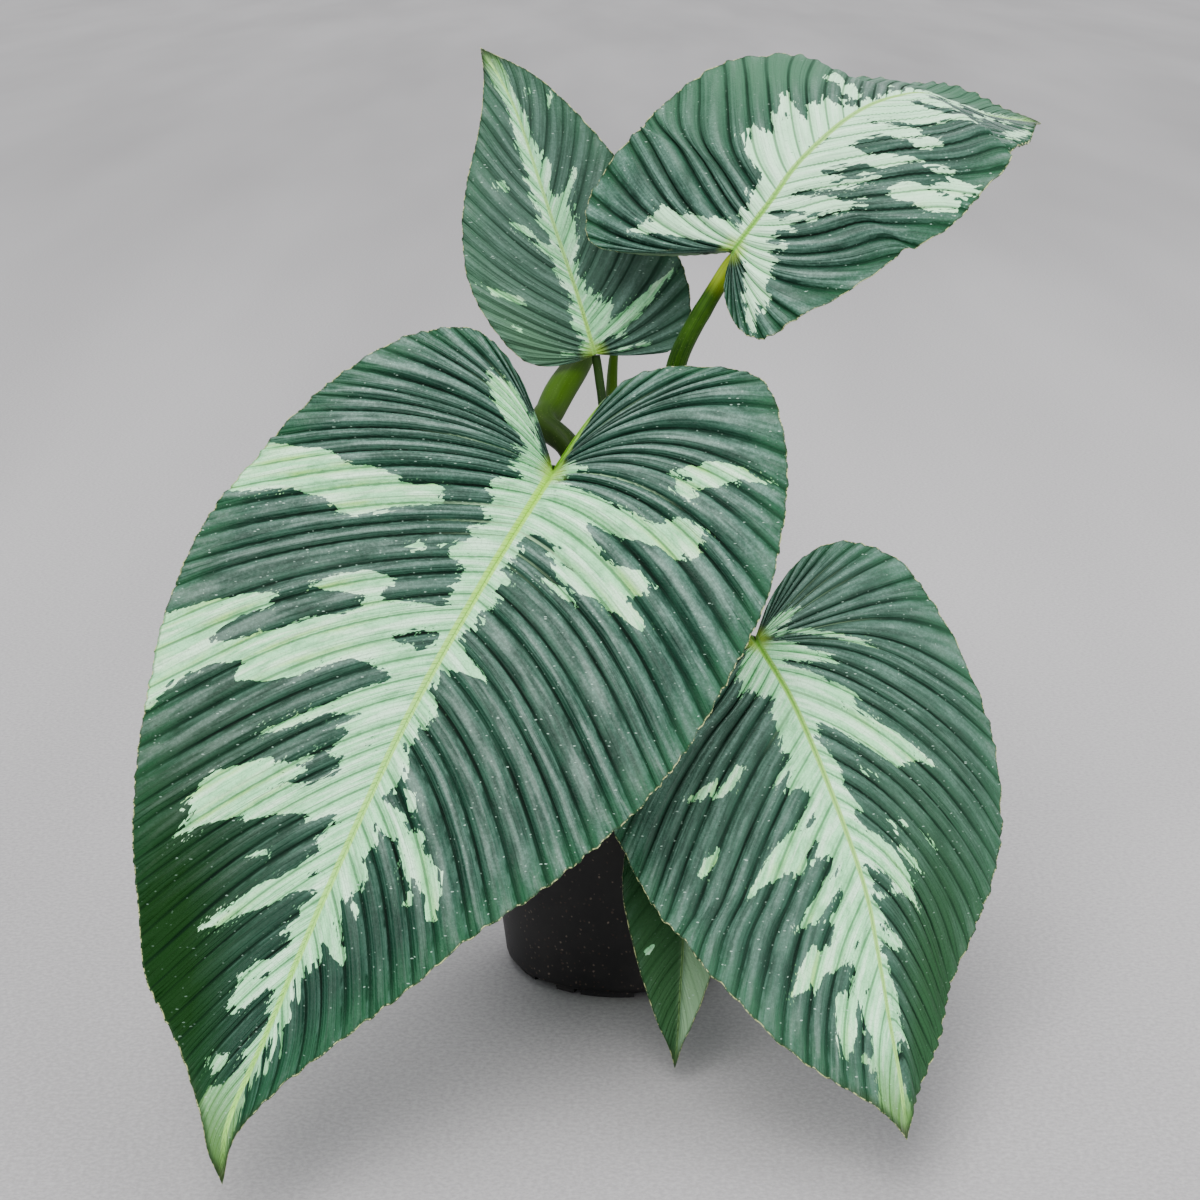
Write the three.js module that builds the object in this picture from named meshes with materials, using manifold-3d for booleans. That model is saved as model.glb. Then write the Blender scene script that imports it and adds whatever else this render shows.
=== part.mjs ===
// Potted Schismatoglottis pusilla: five variegated heart-shaped and lance-shaped leaves and two
// rolled young leaves that rise from the soil of a thin-walled round nursery pot.
// Millimetres, +Z up. The origin is the middle of the pot's base, and the two big hanging blades
// face -Y. Every blade is a thin pleated sheet with a raised rib under its midrib.

import * as THREE from 'three';
import { mergeVertices } from 'three/addons/utils/BufferGeometryUtils.js';
import Module from 'manifold-3d';

const wasm = await Module();
wasm.setup();

// Gap between touching solids
const GAP = 0.3;

// Pot
const POT_HEIGHT = 105;
const RIM_RADIUS = 60;
const WALL_LOW_RADIUS = 46;
const WALL_TAPER = Math.tan(THREE.MathUtils.degToRad(6.9));
const WALL_THICKNESS = 1.1;
const LIP_HEIGHT = 8;
const FLOOR_UNDERSIDE = 2.0;
const FLOOR_TOP = 3.4;
const PAD_RADIUS = 14;
const WALL_LOW_Z = 5.5;
const FOOT_OUTER = 42.5;
const FOOT_INNER = 39.5;
const FOOT_GROUPS = 6;
const DRAIN_HOLES = 6;
const DRAIN_RADIUS = 4;
const DRAIN_RING = 27;
const DRAIN_START = 15;
const POT_SEGMENTS = 40;

// Soil
const SOIL_TOP = 93;
const SOIL_MOUND = 3;
const SOIL_SEGMENTS = 36;
const SOIL_EDGE_DROP = 1.5;

// Stems: the foot stands straight in the soil, and the last stretch below a blade is straight too
const STEM_FOOT = 78;
const STEM_STRAIGHT = [88, 98];
const STEM_END_RUN = 9;
const STEM_SIDES = 8;
const STEM_STEPS = 20;
const STEM_TIP_GAP = 0.5;
const HOLE_DEPTH = 40;

// Blades
const BLADE_THICKNESS = 0.9;
const RIB_DEPTH = 1.6;
const RIB_FADE = 0.85;
const CURVE_SAMPLES = 400;
const VEIN_ROWS = [0, 0.07, 0.27, 0.5, 0.73, 0.92, 1];

// Each blade is set out on its own flat plan: y runs from the sinus to the tip along the midrib,
// x away from it. A row of veins gives the start on the midrib, then the end on the margin of the
// left and of the right half (x, y, x, y). Left is the side of normal x midrib direction.
const LEAVES = {
  a: {
    midrib: [[-25, -60, 215], [-49, -86, 181], [-75, -118, 140], [-99, -155, 94],
      [-117, -193, 57], [-127, -216, 37], [-128, -226, 21]],
    up: [0, -0.8, 0.6],
    fold: [[12, 12], [12, 12]], bend: [-22, -22], lobeCurl: 10, bow: [24, 12],
    pleats: 36, relief: 0.85, wave: [1.6, 5.5, 0.4],
    veins: [
      [0, 1, -2, 2, -2], [0, 1, -24, 17, -16], [0, 7, -45, 36, -29], [0, 27, -59, 55, -33],
      [0, 52, -65.5, 72, -20], [1, 73, -44, 84, 3], [4, 86, -14, 92, 26], [14, 93, 15, 97, 48],
      [32, 94.5, 46, 99, 72], [52, 93, 76, 96, 100], [73, 88, 103, 89, 128],
      [95, 79, 127, 79, 156], [117, 67, 150, 68, 180], [140, 54, 172, 57, 200],
      [163, 42, 195, 45, 222], [187, 30, 213, 33, 235], [210, 19, 231, 20, 247],
      [233, 10, 249, 9, 259], [255, 3, 264, 4, 270],
    ],
  },
  b: {
    midrib: [[50, -50, 148], [63, -66, 129], [75, -96, 105], [84, -128, 83],
      [87, -152, 67], [89, -174, 52], [91, -190, 39], [92, -204, 25]],
    up: [0.1, -0.75, 0.6],
    fold: [[5, -10, -25, -35, -35], [10, 5, 0, -5]], bend: [-20, -20], lobeCurl: 0, bow: [8, 15],
    pleats: 30, relief: 0.8, wave: [1.4, 4.5, 1.9],
    veins: [
      [0, 1, -2, 2, -2], [0, 14, -13, 9, -17], [0, 33, -22, 24, -29], [0, 52, -22, 43, -32],
      [0, 66, -9, 60, -24], [0, 70.5, 11, 73, -6], [0.5, 75, 32, 80, 18], [1, 79, 52, 82, 45],
      [4, 76, 74, 79, 72], [14, 66, 93, 75, 96], [30, 54, 110, 69, 117], [48, 43, 127, 61, 135],
      [67, 34, 144, 51, 151], [87, 26, 159, 40, 165], [108, 18, 173, 29, 176],
      [130, 12, 183, 19, 186], [152, 6.5, 191, 10, 193], [175, 2.5, 198, 4, 198.5],
    ],
  },
  c: {
    midrib: [[-10, 52, 237], [-17, 57, 260], [-25, 63, 283], [-33, 71, 306],
      [-41, 78, 329], [-48, 83, 343], [-56, 88, 355]],
    up: [0, -0.95, 0],
    fold: [[12, 12], [12, 12]], bend: [-10, -10], lobeCurl: 0, bow: [10, 10],
    pleats: 22, relief: 0.55, wave: [1.2, 4, 0.9],
    veins: [
      [0, 1.5, -0.5, 1.5, -0.5], [0, 9, -1, 9, -3], [0, 20, 0.5, 20, -6], [0, 29, 6, 32, -7],
      [0.5, 35.5, 18, 42, 4], [2, 39, 31, 44.5, 18], [7, 40, 44, 43.5, 33],
      [16, 37.5, 58, 40, 48], [28, 33, 71, 35, 63], [41, 27, 83, 30, 78],
      [55, 20.5, 94, 24.5, 91], [70, 14.5, 105, 18, 103], [86, 9, 115, 11.5, 114],
      [103, 4.5, 123, 5.5, 123],
    ],
  },
  d: {
    midrib: [[42, 0, 286], [56, 4, 304], [66, 9, 317], [81, 17, 330], [94, 27, 337],
      [107, 38, 340], [118, 49, 340], [132, 61, 335], [148, 75, 329], [172, 97, 324]],
    up: [-0.3, -0.55, 0.75],
    fold: [[10, 12, 13, 2, -8, 8, 18], [-15, -15, -15, 0, 5, 5]], bend: [-10, -30], lobeCurl: 0,
    bow: [14, 12], pleats: 24, relief: 0.9, wave: [1.5, 4.5, 2.6],
    veins: [
      [0, 1.5, -1, 1.5, -1], [0, 14, -8, 4, -9], [0, 29, -18, 11, -18], [0, 45, -27, 22, -23],
      [0, 60, -27, 32, -20], [0.5, 71, -14, 36.5, -9], [3, 71.5, 4, 43, 5], [9, 67, 23, 50, 23],
      [19, 64, 40, 56, 41], [32, 58, 57, 59.5, 60], [47, 51, 74, 58.5, 78], [63, 43, 91, 55, 97],
      [80, 35, 109, 48, 114], [98, 29, 127, 39, 131], [117, 25, 144, 30, 146],
      [136, 19, 159, 20, 158], [154, 12, 171, 11, 169.5], [170, 5, 180, 4.5, 178.5],
    ],
  },
  e: {
    midrib: [[15, -80, 100], [20, -93, 78], [22, -103, 55], [21, -109, 34], [20, -114, 17],
      [19, -117, 7]],
    up: [0, -0.95, 0.2],
    fold: [[35, 35], [10, 10]], bend: [0, 0], lobeCurl: 0, bow: [14, 14],
    pleats: 9, relief: 0.3, wave: [0.6, 3, 0.5],
    veins: [
      [0, 1, -0.5, 1, -0.5], [0.5, 8, 4, 9, 3], [4, 13, 15, 16, 14], [11, 16, 27, 20, 26],
      [21, 17, 39, 21.5, 38], [33, 16, 51, 20, 50], [46, 13.5, 63, 17, 62],
      [60, 10, 74, 12.5, 74], [74, 5.5, 85, 8, 85], [87, 2, 94, 3, 94],
    ],
  },
};

// Stems: the hole in the soil, the free route above it and the radii from foot to end. A petiole
// also has its leaf, how far under the sinus it ends and the direction in which it gets there.
const STEMS = {
  petiole_a: { hole: [-8, -11], leaf: 'a', under: 2.4, approach: [0.1, -0.9, 0.3],
    route: [[-9, -13, 130], [-14, -18, 170], [-20, -32, 198]], radii: [4.4, 4, 3.4, 2.9] },
  petiole_b: { hole: [8, -11], leaf: 'b', under: 2.7, approach: [0.55, -0.75, 0.1],
    route: [[13, -12, 122], [25, -17, 143]], radii: [4, 3.6, 3.1, 2.7] },
  petiole_c: { hole: [-3, 8], leaf: 'c', under: 2.35, approach: [-0.15, 0.12, 1],
    route: [[-3, 13, 130], [-4, 28, 170], [-6, 46, 208]], radii: [3, 2.5, 2, 1.8] },
  petiole_d: { hole: [10, 5], leaf: 'd', under: 4.3, approach: [0.6, 0.1, 0.8],
    route: [[12, 4, 130], [12.5, -1, 175], [14.5, -3, 206], [18.5, -3, 229], [23, -3, 249]],
    radii: [4.4, 4.3, 4, 3.1] },
  petiole_e: { hole: [0, -24], leaf: 'e', under: 2.2, approach: [0.25, -0.6, -0.75],
    route: [[1, -31, 110], [5, -46, 119], [10, -63, 117]], radii: [2.6, 2.2, 1.9, 1.7] },
  young_leaf_front: { hole: [-15, 2],
    route: [[-15, 4, 120], [-15, 8, 150], [-15, 11, 190], [-20, 14, 207], [-30, 26, 214],
      [-28, 37, 217], [-24, 48, 223], [-17, 63, 231], [-12, 76, 238], [-9, 86, 245], [-6, 92, 254]],
    radii: [3.4, 3.4, 3.5, 3.7, 4.2, 5.2, 6.2, 4.6, 0.7] },
  young_leaf_back: { hole: [4, 19],
    route: [[4, 26, 130], [0, 56, 180], [-3, 74, 205], [-3, 84, 218], [-2, 92, 231], [0, 98, 240],
      [2, 102, 248]],
    radii: [3.2, 3.2, 3, 2.9, 2.8, 2.2, 0.7] },
};

const GREEN_BLADE = { color: 0x35594a, roughness: 0.42, metalness: 0 };
const GREEN_STEM = { color: 0x55752b, roughness: 0.5, metalness: 0 };
const POT_PLASTIC = { color: 0x1e1c1c, roughness: 0.6, metalness: 0 };
const PEAT = { color: 0x2c211a, roughness: 0.95, metalness: 0 };

function mesh(name, geometry, look) {
  const m = new THREE.Mesh(geometry, new THREE.MeshStandardMaterial(look));
  m.name = name;
  return m;
}

// A geometry with shared corners and no collapsed triangles
function welded(geometry) {
  const g = geometry.clone();
  g.deleteAttribute('normal');
  g.deleteAttribute('uv');
  const merged = mergeVertices(g, 1e-4);
  const ix = merged.index.array;
  const keep = [];
  for (let i = 0; i < ix.length; i += 3) {
    const [p, q, r] = [ix[i], ix[i + 1], ix[i + 2]];
    if (p !== q && q !== r && r !== p) keep.push(p, q, r);
  }
  merged.setIndex(keep);
  return merged;
}

function toSolid(geometry) {
  const g = welded(geometry);
  return new wasm.Manifold(new wasm.Mesh({
    numProp: 3,
    vertProperties: new Float32Array(g.attributes.position.array),
    triVerts: new Uint32Array(g.index.array),
  }));
}

function fromSolid(solid) {
  const m = solid.getMesh();
  const g = new THREE.BufferGeometry();
  g.setAttribute('position', new THREE.BufferAttribute(new Float32Array(m.vertProperties), 3));
  g.setIndex(new THREE.BufferAttribute(new Uint32Array(m.triVerts), 1));
  return g;
}

// Smooth curve value through evenly spaced numbers, u from 0 to 1
function through(values, u) {
  const n = values.length - 1;
  const t = Math.min(Math.max(u, 0), 1) * n;
  const i = Math.min(Math.floor(t), n - 1);
  const f = t - i;
  const p1 = values[i];
  const p2 = values[i + 1];
  const p0 = i > 0 ? values[i - 1] : 2 * p1 - p2;
  const p3 = i + 2 <= n ? values[i + 2] : 2 * p2 - p1;
  return 0.5 * (2 * p1 + (p2 - p0) * f + (2 * p0 - 5 * p1 + 4 * p2 - p3) * f * f
    + (3 * p1 - p0 - 3 * p2 + p3) * f * f * f);
}

function smooth(lo, hi, v) {
  const t = Math.min(Math.max((v - lo) / (hi - lo), 0), 1);
  return t * t * (3 - 2 * t);
}

// Where a line of a length ends that starts at an angle and turns by k radians a millimetre
function arc(start, k, length) {
  if (k === 0) return [length * Math.cos(start), length * Math.sin(start)];
  const end = start + k * length;
  return [(Math.sin(end) - Math.sin(start)) / k, (Math.cos(start) - Math.cos(end)) / k];
}

// Degrees a decimetre as radians a millimetre
const bendToRad = (degrees) => THREE.MathUtils.degToRad(degrees) / 100;

// Points at even steps of length along a smooth curve
function evenCurve(points) {
  const curve = new THREE.CatmullRomCurve3(points.map((p) => new THREE.Vector3(...p)),
    false, 'catmullrom', 0.5);
  const pts = [];
  const len = [0];
  for (let i = 0; i <= CURVE_SAMPLES; i++) {
    pts.push(curve.getPoint(i / CURVE_SAMPLES));
    if (i) len.push(len[i - 1] + pts[i].distanceTo(pts[i - 1]));
  }
  const total = len[CURVE_SAMPLES];
  const at = (s) => {
    const d = Math.min(Math.max(s, 0), total);
    let i = 0;
    while (i < CURVE_SAMPLES - 1 && len[i + 1] <= d) i++;
    const f = (d - len[i]) / (len[i + 1] - len[i]);
    return pts[i].clone().lerp(pts[i + 1], f);
  };
  return { total, at };
}

// The curved sheet of one blade
class Blade {
  constructor(spec) {
    this.spec = spec;
    this.curve = evenCurve(spec.midrib);
    this.length = this.curve.total;
    this.up = new THREE.Vector3(...spec.up);
    const tip = this.length;
    this.veins = [...spec.veins, [tip, 0, tip, 0, tip]];
  }

  // Midrib point, direction, normal and left side at y; behind the sinus the line curls on
  frame(y) {
    const y0 = Math.min(Math.max(y, 0), this.length);
    const at = this.curve.at(y0);
    const t = this.curve.at(y0 + 1.5).sub(this.curve.at(y0 - 1.5)).normalize();
    const n = this.up.clone().addScaledVector(t, -this.up.dot(t)).normalize();
    const s = new THREE.Vector3().crossVectors(n, t);
    if (y < 0) {
      const k = bendToRad(this.spec.lobeCurl);
      const [back, lift] = arc(0, k, -y);
      at.addScaledVector(t, -back).addScaledVector(n, lift);
      t.applyAxisAngle(s, -k * y);
      n.applyAxisAngle(s, -k * y);
    }
    return { at, t, n, s };
  }

  // Sheet point for flat plan x, y; side 0 is the left half, 1 the right half, x is its distance
  sheet(side, x, y) {
    const { at, n, s } = this.frame(y);
    const u = y / this.length;
    const start = THREE.MathUtils.degToRad(through(this.spec.fold[side], u));
    const [out, rise] = arc(start, bendToRad(this.spec.bend[side]), x);
    return at.addScaledVector(s, side ? -out : out).addScaledVector(n, rise);
  }

  normal(side, x, y) {
    if (x < 0.05) return this.frame(y).n;
    const h = 0.5;
    const dy = this.sheet(side, x, y + h).sub(this.sheet(side, x, y - h));
    const dx = this.sheet(side, x + h, y).sub(this.sheet(side, x - h, y));
    const n = new THREE.Vector3().crossVectors(dy, dx).normalize();
    return side ? n.negate() : n;
  }

  // Flat plan position on vein a (0 sinus, 1 tip) at r (0 midrib, 1 margin)
  plan(side, a, r) {
    const v = this.veins;
    const y0 = Math.max(0, through(v.map((p) => p[0]), a));
    const px = Math.max(0, through(v.map((p) => p[1 + 2 * side]), a));
    const py = through(v.map((p) => p[2 + 2 * side]), a);
    const bow = THREE.MathUtils.degToRad(this.spec.bow[side]) * smooth(0.02, 0.3, a);
    const k = 0.5 * Math.tan(bow) * 2 * r * (1 - r);
    return [r * px + k * (py - y0), y0 + r * (py - y0) - k * px];
  }

  // Height of the pleats and of the waved margin over the sheet
  relief(side, a, r) {
    const { pleats, relief, wave } = this.spec;
    const ridge = -Math.cos(2 * Math.PI * pleats * a);
    const along = smooth(0, 0.2, r) * (1 - 0.6 * smooth(0.8, 1, r));
    const ends = smooth(0, 0.05, a) * (1 - 0.7 * smooth(0.7, 1, a));
    const sway = Math.sin(2 * Math.PI * (wave[1] * a + wave[2] + 0.37 * side));
    return relief * ridge * along * ends
      + wave[0] * sway * smooth(0.45, 1, r) * smooth(0, 0.12, a) * (1 - smooth(0.85, 1, a));
  }

  solid() {
    const columns = 2 * this.spec.pleats;
    const rows = VEIN_ROWS.length - 1;
    const top = [];
    const low = [];
    for (let side = 0; side < 2; side++) {
      top.push([]);
      low.push([]);
      for (let j = 0; j <= columns; j++) {
        const a = j / columns;
        top[side].push([]);
        low[side].push([]);
        for (let i = 0; i <= rows; i++) {
          const r = VEIN_ROWS[i];
          const [x, y] = this.plan(side, a, j === columns ? 0 : r);
          const flat = i === 0 || j === columns;
          const p = this.sheet(side, flat ? 0 : x, y);
          const n = this.normal(side, flat ? 0 : x, y);
          const h = flat ? 0 : this.relief(side, a, r);
          const rib = i === 0 && j < columns ? RIB_DEPTH * (1 - RIB_FADE * a) : 0;
          top[side][j].push(p.clone().addScaledVector(n, h + BLADE_THICKNESS / 2));
          low[side][j].push(p.clone().addScaledVector(n, h - BLADE_THICKNESS / 2 - rib));
        }
      }
    }
    const out = [];
    const quad = (p, q, r, s, flip) => {
      const order = flip ? [p, r, q, p, s, r] : [p, q, r, p, r, s];
      for (const v of order) out.push(v.x, v.y, v.z);
    };
    for (let side = 0; side < 2; side++) {
      const left = side === 0;
      const t = top[side];
      const l = low[side];
      for (let j = 0; j < columns; j++) {
        for (let i = 0; i < rows; i++) {
          quad(t[j][i], t[j][i + 1], t[j + 1][i + 1], t[j + 1][i], left);
          quad(l[j][i], l[j][i + 1], l[j + 1][i + 1], l[j + 1][i], !left);
        }
        quad(t[j][rows], l[j][rows], l[j + 1][rows], t[j + 1][rows], left);
      }
      for (let i = 0; i < rows; i++) {
        quad(t[0][i], l[0][i], l[0][i + 1], t[0][i + 1], left);
      }
    }
    const g = new THREE.BufferGeometry();
    g.setAttribute('position', new THREE.Float32BufferAttribute(out, 3));
    return welded(g);
  }
}

// A round tapering stem: a turned rod bent along a smooth route
function stem(points, radii) {
  const steps = STEM_STEPS;
  const route = evenCurve(points);
  const profile = [new THREE.Vector2(0, 0)];
  for (let i = 0; i <= steps; i++) {
    profile.push(new THREE.Vector2(through(radii, i / steps), (i / steps) * route.total));
  }
  profile.push(new THREE.Vector2(0, route.total));
  const rod = welded(new THREE.LatheGeometry(profile, STEM_SIDES));
  const pos = rod.attributes.position;
  const frames = [];
  let side = new THREE.Vector3(1, 0, 0);
  for (let i = 0; i <= steps; i++) {
    const s = (i / steps) * route.total;
    const t = route.at(s + 0.5).sub(route.at(s - 0.5)).normalize();
    side = side.clone().addScaledVector(t, -side.dot(t)).normalize();
    frames.push({ at: route.at(s), side, other: new THREE.Vector3().crossVectors(t, side) });
  }
  for (let i = 0; i < pos.count; i++) {
    const f = frames[Math.round((pos.getY(i) / route.total) * steps)];
    const p = f.at.clone().addScaledVector(f.side, pos.getX(i)).addScaledVector(f.other, pos.getZ(i));
    pos.setXYZ(i, p.x, p.y, p.z);
  }
  return orientOut(rod);
}

// Turns a closed mesh so that its faces point out
function orientOut(g) {
  const p = g.attributes.position;
  const ix = Array.from(g.index.array);
  const v = [0, 1, 2].map(() => new THREE.Vector3());
  let volume = 0;
  for (let i = 0; i < ix.length; i += 3) {
    v.forEach((q, k) => q.fromBufferAttribute(p, ix[i + k]));
    volume += v[0].dot(v[1].clone().cross(v[2])) / 6;
  }
  if (volume < 0) {
    for (let i = 0; i < ix.length; i += 3) [ix[i], ix[i + 1]] = [ix[i + 1], ix[i]];
    g.setIndex(ix);
  }
  return g;
}

// A closed ring sector about +Z
function ringSector(inner, outer, from, to, z0, z1) {
  const shape = new THREE.Shape();
  shape.absarc(0, 0, outer, from, to, false);
  shape.absarc(0, 0, inner, to, from, true);
  shape.closePath();
  const g = new THREE.ExtrudeGeometry(shape, { depth: z1 - z0, bevelEnabled: false, curveSegments: 4 });
  g.translate(0, 0, z0);
  return orientOut(welded(g));
}

function turned(points, segments) {
  const g = new THREE.LatheGeometry(points.map((p) => new THREE.Vector2(...p)), segments);
  g.rotateX(Math.PI / 2);
  return orientOut(welded(g));
}

// Pot wall radius at height z
const wallRadius = (z) => WALL_LOW_RADIUS + (z - WALL_LOW_Z) * WALL_TAPER;

function pot() {
  const lipLow = POT_HEIGHT - LIP_HEIGHT;
  const body = turned([
    [0, 0], [PAD_RADIUS, 0], [PAD_RADIUS + 1.5, FLOOR_UNDERSIDE], [FOOT_INNER, FLOOR_UNDERSIDE],
    [FOOT_INNER, 0], [FOOT_OUTER, 0], [FOOT_OUTER, 2.6], [43.8, 2.8], [45.4, 3.6],
    [WALL_LOW_RADIUS, WALL_LOW_Z], [wallRadius(lipLow), lipLow], [RIM_RADIUS - 0.5, lipLow + 0.8],
    [RIM_RADIUS, POT_HEIGHT - 1], [RIM_RADIUS - 0.5, POT_HEIGHT], [RIM_RADIUS - 1.2, POT_HEIGHT],
    [RIM_RADIUS - 1.6, POT_HEIGHT - 0.8], [RIM_RADIUS - 1.9, lipLow + 1.8],
    [wallRadius(lipLow - 1) - WALL_THICKNESS, lipLow - 1],
    [wallRadius(6) - WALL_THICKNESS, 6], [43.6, FLOOR_TOP], [0, FLOOR_TOP],
  ], POT_SEGMENTS);
  let solid = toSolid(body);
  const deg = THREE.MathUtils.degToRad;
  // Foot ring: one long and one short foot in each group, with gaps between them
  for (let i = 0; i < FOOT_GROUPS; i++) {
    const start = -90 + (i * 360) / FOOT_GROUPS;
    for (const [from, to] of [[7, 24], [34.4, 38.6]]) {
      solid = solid.subtract(toSolid(ringSector(FOOT_INNER - 1, FOOT_OUTER + 1,
        deg(start + from), deg(start + to), -1, FLOOR_UNDERSIDE)));
    }
  }
  for (let i = 0; i < DRAIN_HOLES; i++) {
    const ang = deg(DRAIN_START + (i * 360) / DRAIN_HOLES);
    const hole = new THREE.CylinderGeometry(DRAIN_RADIUS, DRAIN_RADIUS, 6, 12);
    hole.rotateX(Math.PI / 2);
    hole.translate(DRAIN_RING * Math.cos(ang), DRAIN_RING * Math.sin(ang), FLOOR_UNDERSIDE);
    solid = solid.subtract(toSolid(orientOut(welded(hole))));
  }
  return fromSolid(solid);
}

// Lumps of the soil's top: a few fixed waves
function soilHeight(x, y) {
  const r = Math.hypot(x, y);
  return SOIL_TOP + SOIL_MOUND * (1 - smooth(10, 50, r)) + 0.9 * Math.sin(x * 0.31 + 1.3)
    * Math.cos(y * 0.27 - 0.4) + 0.5 * Math.sin(x * 0.11 - y * 0.43 + 2.1);
}

function soil() {
  const edge = SOIL_TOP - SOIL_EDGE_DROP;
  const g = turned([
    [0, FLOOR_TOP + GAP], [43.2, FLOOR_TOP + GAP], [wallRadius(6) - WALL_THICKNESS - GAP, 6.4],
    [wallRadius(edge) - WALL_THICKNESS - GAP, edge],
    ...[50, 41, 32, 23, 13, 0].map((r) => [r, SOIL_TOP]),
  ], SOIL_SEGMENTS);
  const p = g.attributes.position;
  for (let i = 0; i < p.count; i++) {
    if (p.getZ(i) > SOIL_TOP - 0.5) p.setZ(i, soilHeight(p.getX(i), p.getY(i)));
  }
  let solid = toSolid(g);
  for (const s of Object.values(STEMS)) {
    const radius = s.radii[0] + GAP;
    const hole = new THREE.CylinderGeometry(radius, radius, HOLE_DEPTH, 12);
    hole.rotateX(Math.PI / 2);
    hole.translate(s.hole[0], s.hole[1], STEM_FOOT - GAP + HOLE_DEPTH / 2);
    solid = solid.subtract(toSolid(orientOut(welded(hole))));
  }
  return fromSolid(solid);
}

const plant = new THREE.Group();
plant.add(mesh('pot', pot(), POT_PLASTIC));
plant.add(mesh('soil', soil(), PEAT));

const blades = {};
for (const [key, spec] of Object.entries(LEAVES)) {
  blades[key] = new Blade(spec);
  plant.add(mesh(`blade_${key}`, blades[key].solid(), GREEN_BLADE));
}

for (const [name, s] of Object.entries(STEMS)) {
  const [hx, hy] = s.hole;
  const points = [STEM_FOOT, ...STEM_STRAIGHT].map((z) => [hx, hy, z]).concat(s.route);
  if (s.leaf) {
    // The petiole ends under the sinus, just short of the rib that carries on from it
    const f = blades[s.leaf].frame(0);
    const end = f.at.clone().addScaledVector(f.n, -s.under).addScaledVector(f.t, -STEM_TIP_GAP);
    const dir = new THREE.Vector3(...s.approach).normalize();
    points.push(end.clone().addScaledVector(dir, -STEM_END_RUN).toArray(), end.toArray());
  }
  plant.add(mesh(name, stem(points, s.radii), GREEN_STEM));
}

export default plant;
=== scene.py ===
# Potted schismatoglottis pusilla: five variegated leaves and two young rolled ones in a black
# nursery pot of peat. Lengths are millimetres up to where a mesh is made, then metres.

import math
import random

import bpy
import numpy as np
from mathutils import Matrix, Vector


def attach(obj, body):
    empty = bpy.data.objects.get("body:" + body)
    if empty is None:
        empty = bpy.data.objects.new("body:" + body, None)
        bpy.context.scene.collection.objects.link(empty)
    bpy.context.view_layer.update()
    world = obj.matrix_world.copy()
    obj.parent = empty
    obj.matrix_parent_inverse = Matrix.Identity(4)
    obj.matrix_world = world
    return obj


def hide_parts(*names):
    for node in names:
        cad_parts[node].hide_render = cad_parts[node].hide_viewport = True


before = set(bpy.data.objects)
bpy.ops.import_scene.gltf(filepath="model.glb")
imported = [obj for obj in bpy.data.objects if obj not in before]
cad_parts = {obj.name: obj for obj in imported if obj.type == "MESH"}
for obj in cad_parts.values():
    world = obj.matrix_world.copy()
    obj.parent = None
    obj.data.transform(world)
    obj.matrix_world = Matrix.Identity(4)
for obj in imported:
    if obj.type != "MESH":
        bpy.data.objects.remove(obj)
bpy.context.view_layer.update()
bpy.ops.object.select_all(action="DESELECT")
mm = 0.001


# One value in a material: sums and products of values add their own Math nodes
class Val:
    def __init__(self, tree, out):
        self.tree = tree
        self.out = out

    def add(self, kind, settings=None, sockets=None, out=0):
        node = self.tree.nodes.new(kind)
        for name, value in (settings or {}).items():
            setattr(node, name, value)
        for name, value in (sockets or {}).items():
            if isinstance(value, Val):
                self.tree.links.new(value.out, node.inputs[name])
            else:
                node.inputs[name].default_value = value
        return Val(self.tree, node.outputs[out])

    def calc(self, operation, *values):
        return self.add("ShaderNodeMath", {"operation": operation}, dict(enumerate(values)))

    def __add__(self, other): return self.calc("ADD", self, other)
    def __radd__(self, other): return self.calc("ADD", other, self)
    def __sub__(self, other): return self.calc("SUBTRACT", self, other)
    def __rsub__(self, other): return self.calc("SUBTRACT", other, self)
    def __mul__(self, other): return self.calc("MULTIPLY", self, other)
    def __rmul__(self, other): return self.calc("MULTIPLY", other, self)
    def __abs__(self): return self.calc("ABSOLUTE", self)
    def least(self, other): return self.calc("MINIMUM", self, other)

    def step(self, low, high):
        # 0 up to low, 1 from high on, and a smooth rise between them
        return self.add("ShaderNodeMapRange", {"interpolation_type": "SMOOTHSTEP"},
                        {"Value": self, "From Min": low, "From Max": high})

    def blend(self, low, high):
        # one colour where this value is 0 and the other where it is 1
        return self.add("ShaderNodeMix", {"data_type": "RGBA"}, {0: self, 6: low, 7: high}, out=2)

    def part(self, name):
        return self.add("ShaderNodeSeparateXYZ", None, {0: self}, out="XYZ".index(name))

    def spread(self, x, y, z):
        return self.add("ShaderNodeVectorMath", {"operation": "MULTIPLY"}, {0: self, 1: (x, y, z)})

    def noise(self, scale, detail, rough=0.55, out=0):
        settings = {"Vector": self, "Scale": scale, "Detail": detail, "Roughness": rough}
        return self.add("ShaderNodeTexNoise", None, settings, out)

    def cells(self, scale, feature="F1", out=0):
        return self.add("ShaderNodeTexVoronoi", {"feature": feature},
                        {"Vector": self, "Scale": scale}, out)

    def also(self, out):
        # another output of the node that gave this value
        return Val(self.tree, self.out.node.outputs[out])


def rgb(red, green, blue):
    # a colour as seen on a screen, 0 to 255, as the light values that the shader wants
    shares = [c / 255 for c in (red, green, blue)]
    return tuple(c / 12.92 if c < 0.0404 else ((c + 0.055) / 1.055) ** 2.4 for c in shares) + (1.0,)


def newFinish(name, **sockets):
    finish = bpy.data.materials.new(name)
    finish.use_nodes = True
    tree = finish.node_tree
    shader = tree.nodes["Principled BSDF"]
    for key, value in sockets.items():
        shader.inputs[key.replace("_", " ")].default_value = value
    return finish, shader, Val(tree, None)


def feed(shader, start, **sockets):
    for key, value in sockets.items():
        start.tree.links.new(value.out, shader.inputs[key.replace("_", " ")])


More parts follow.
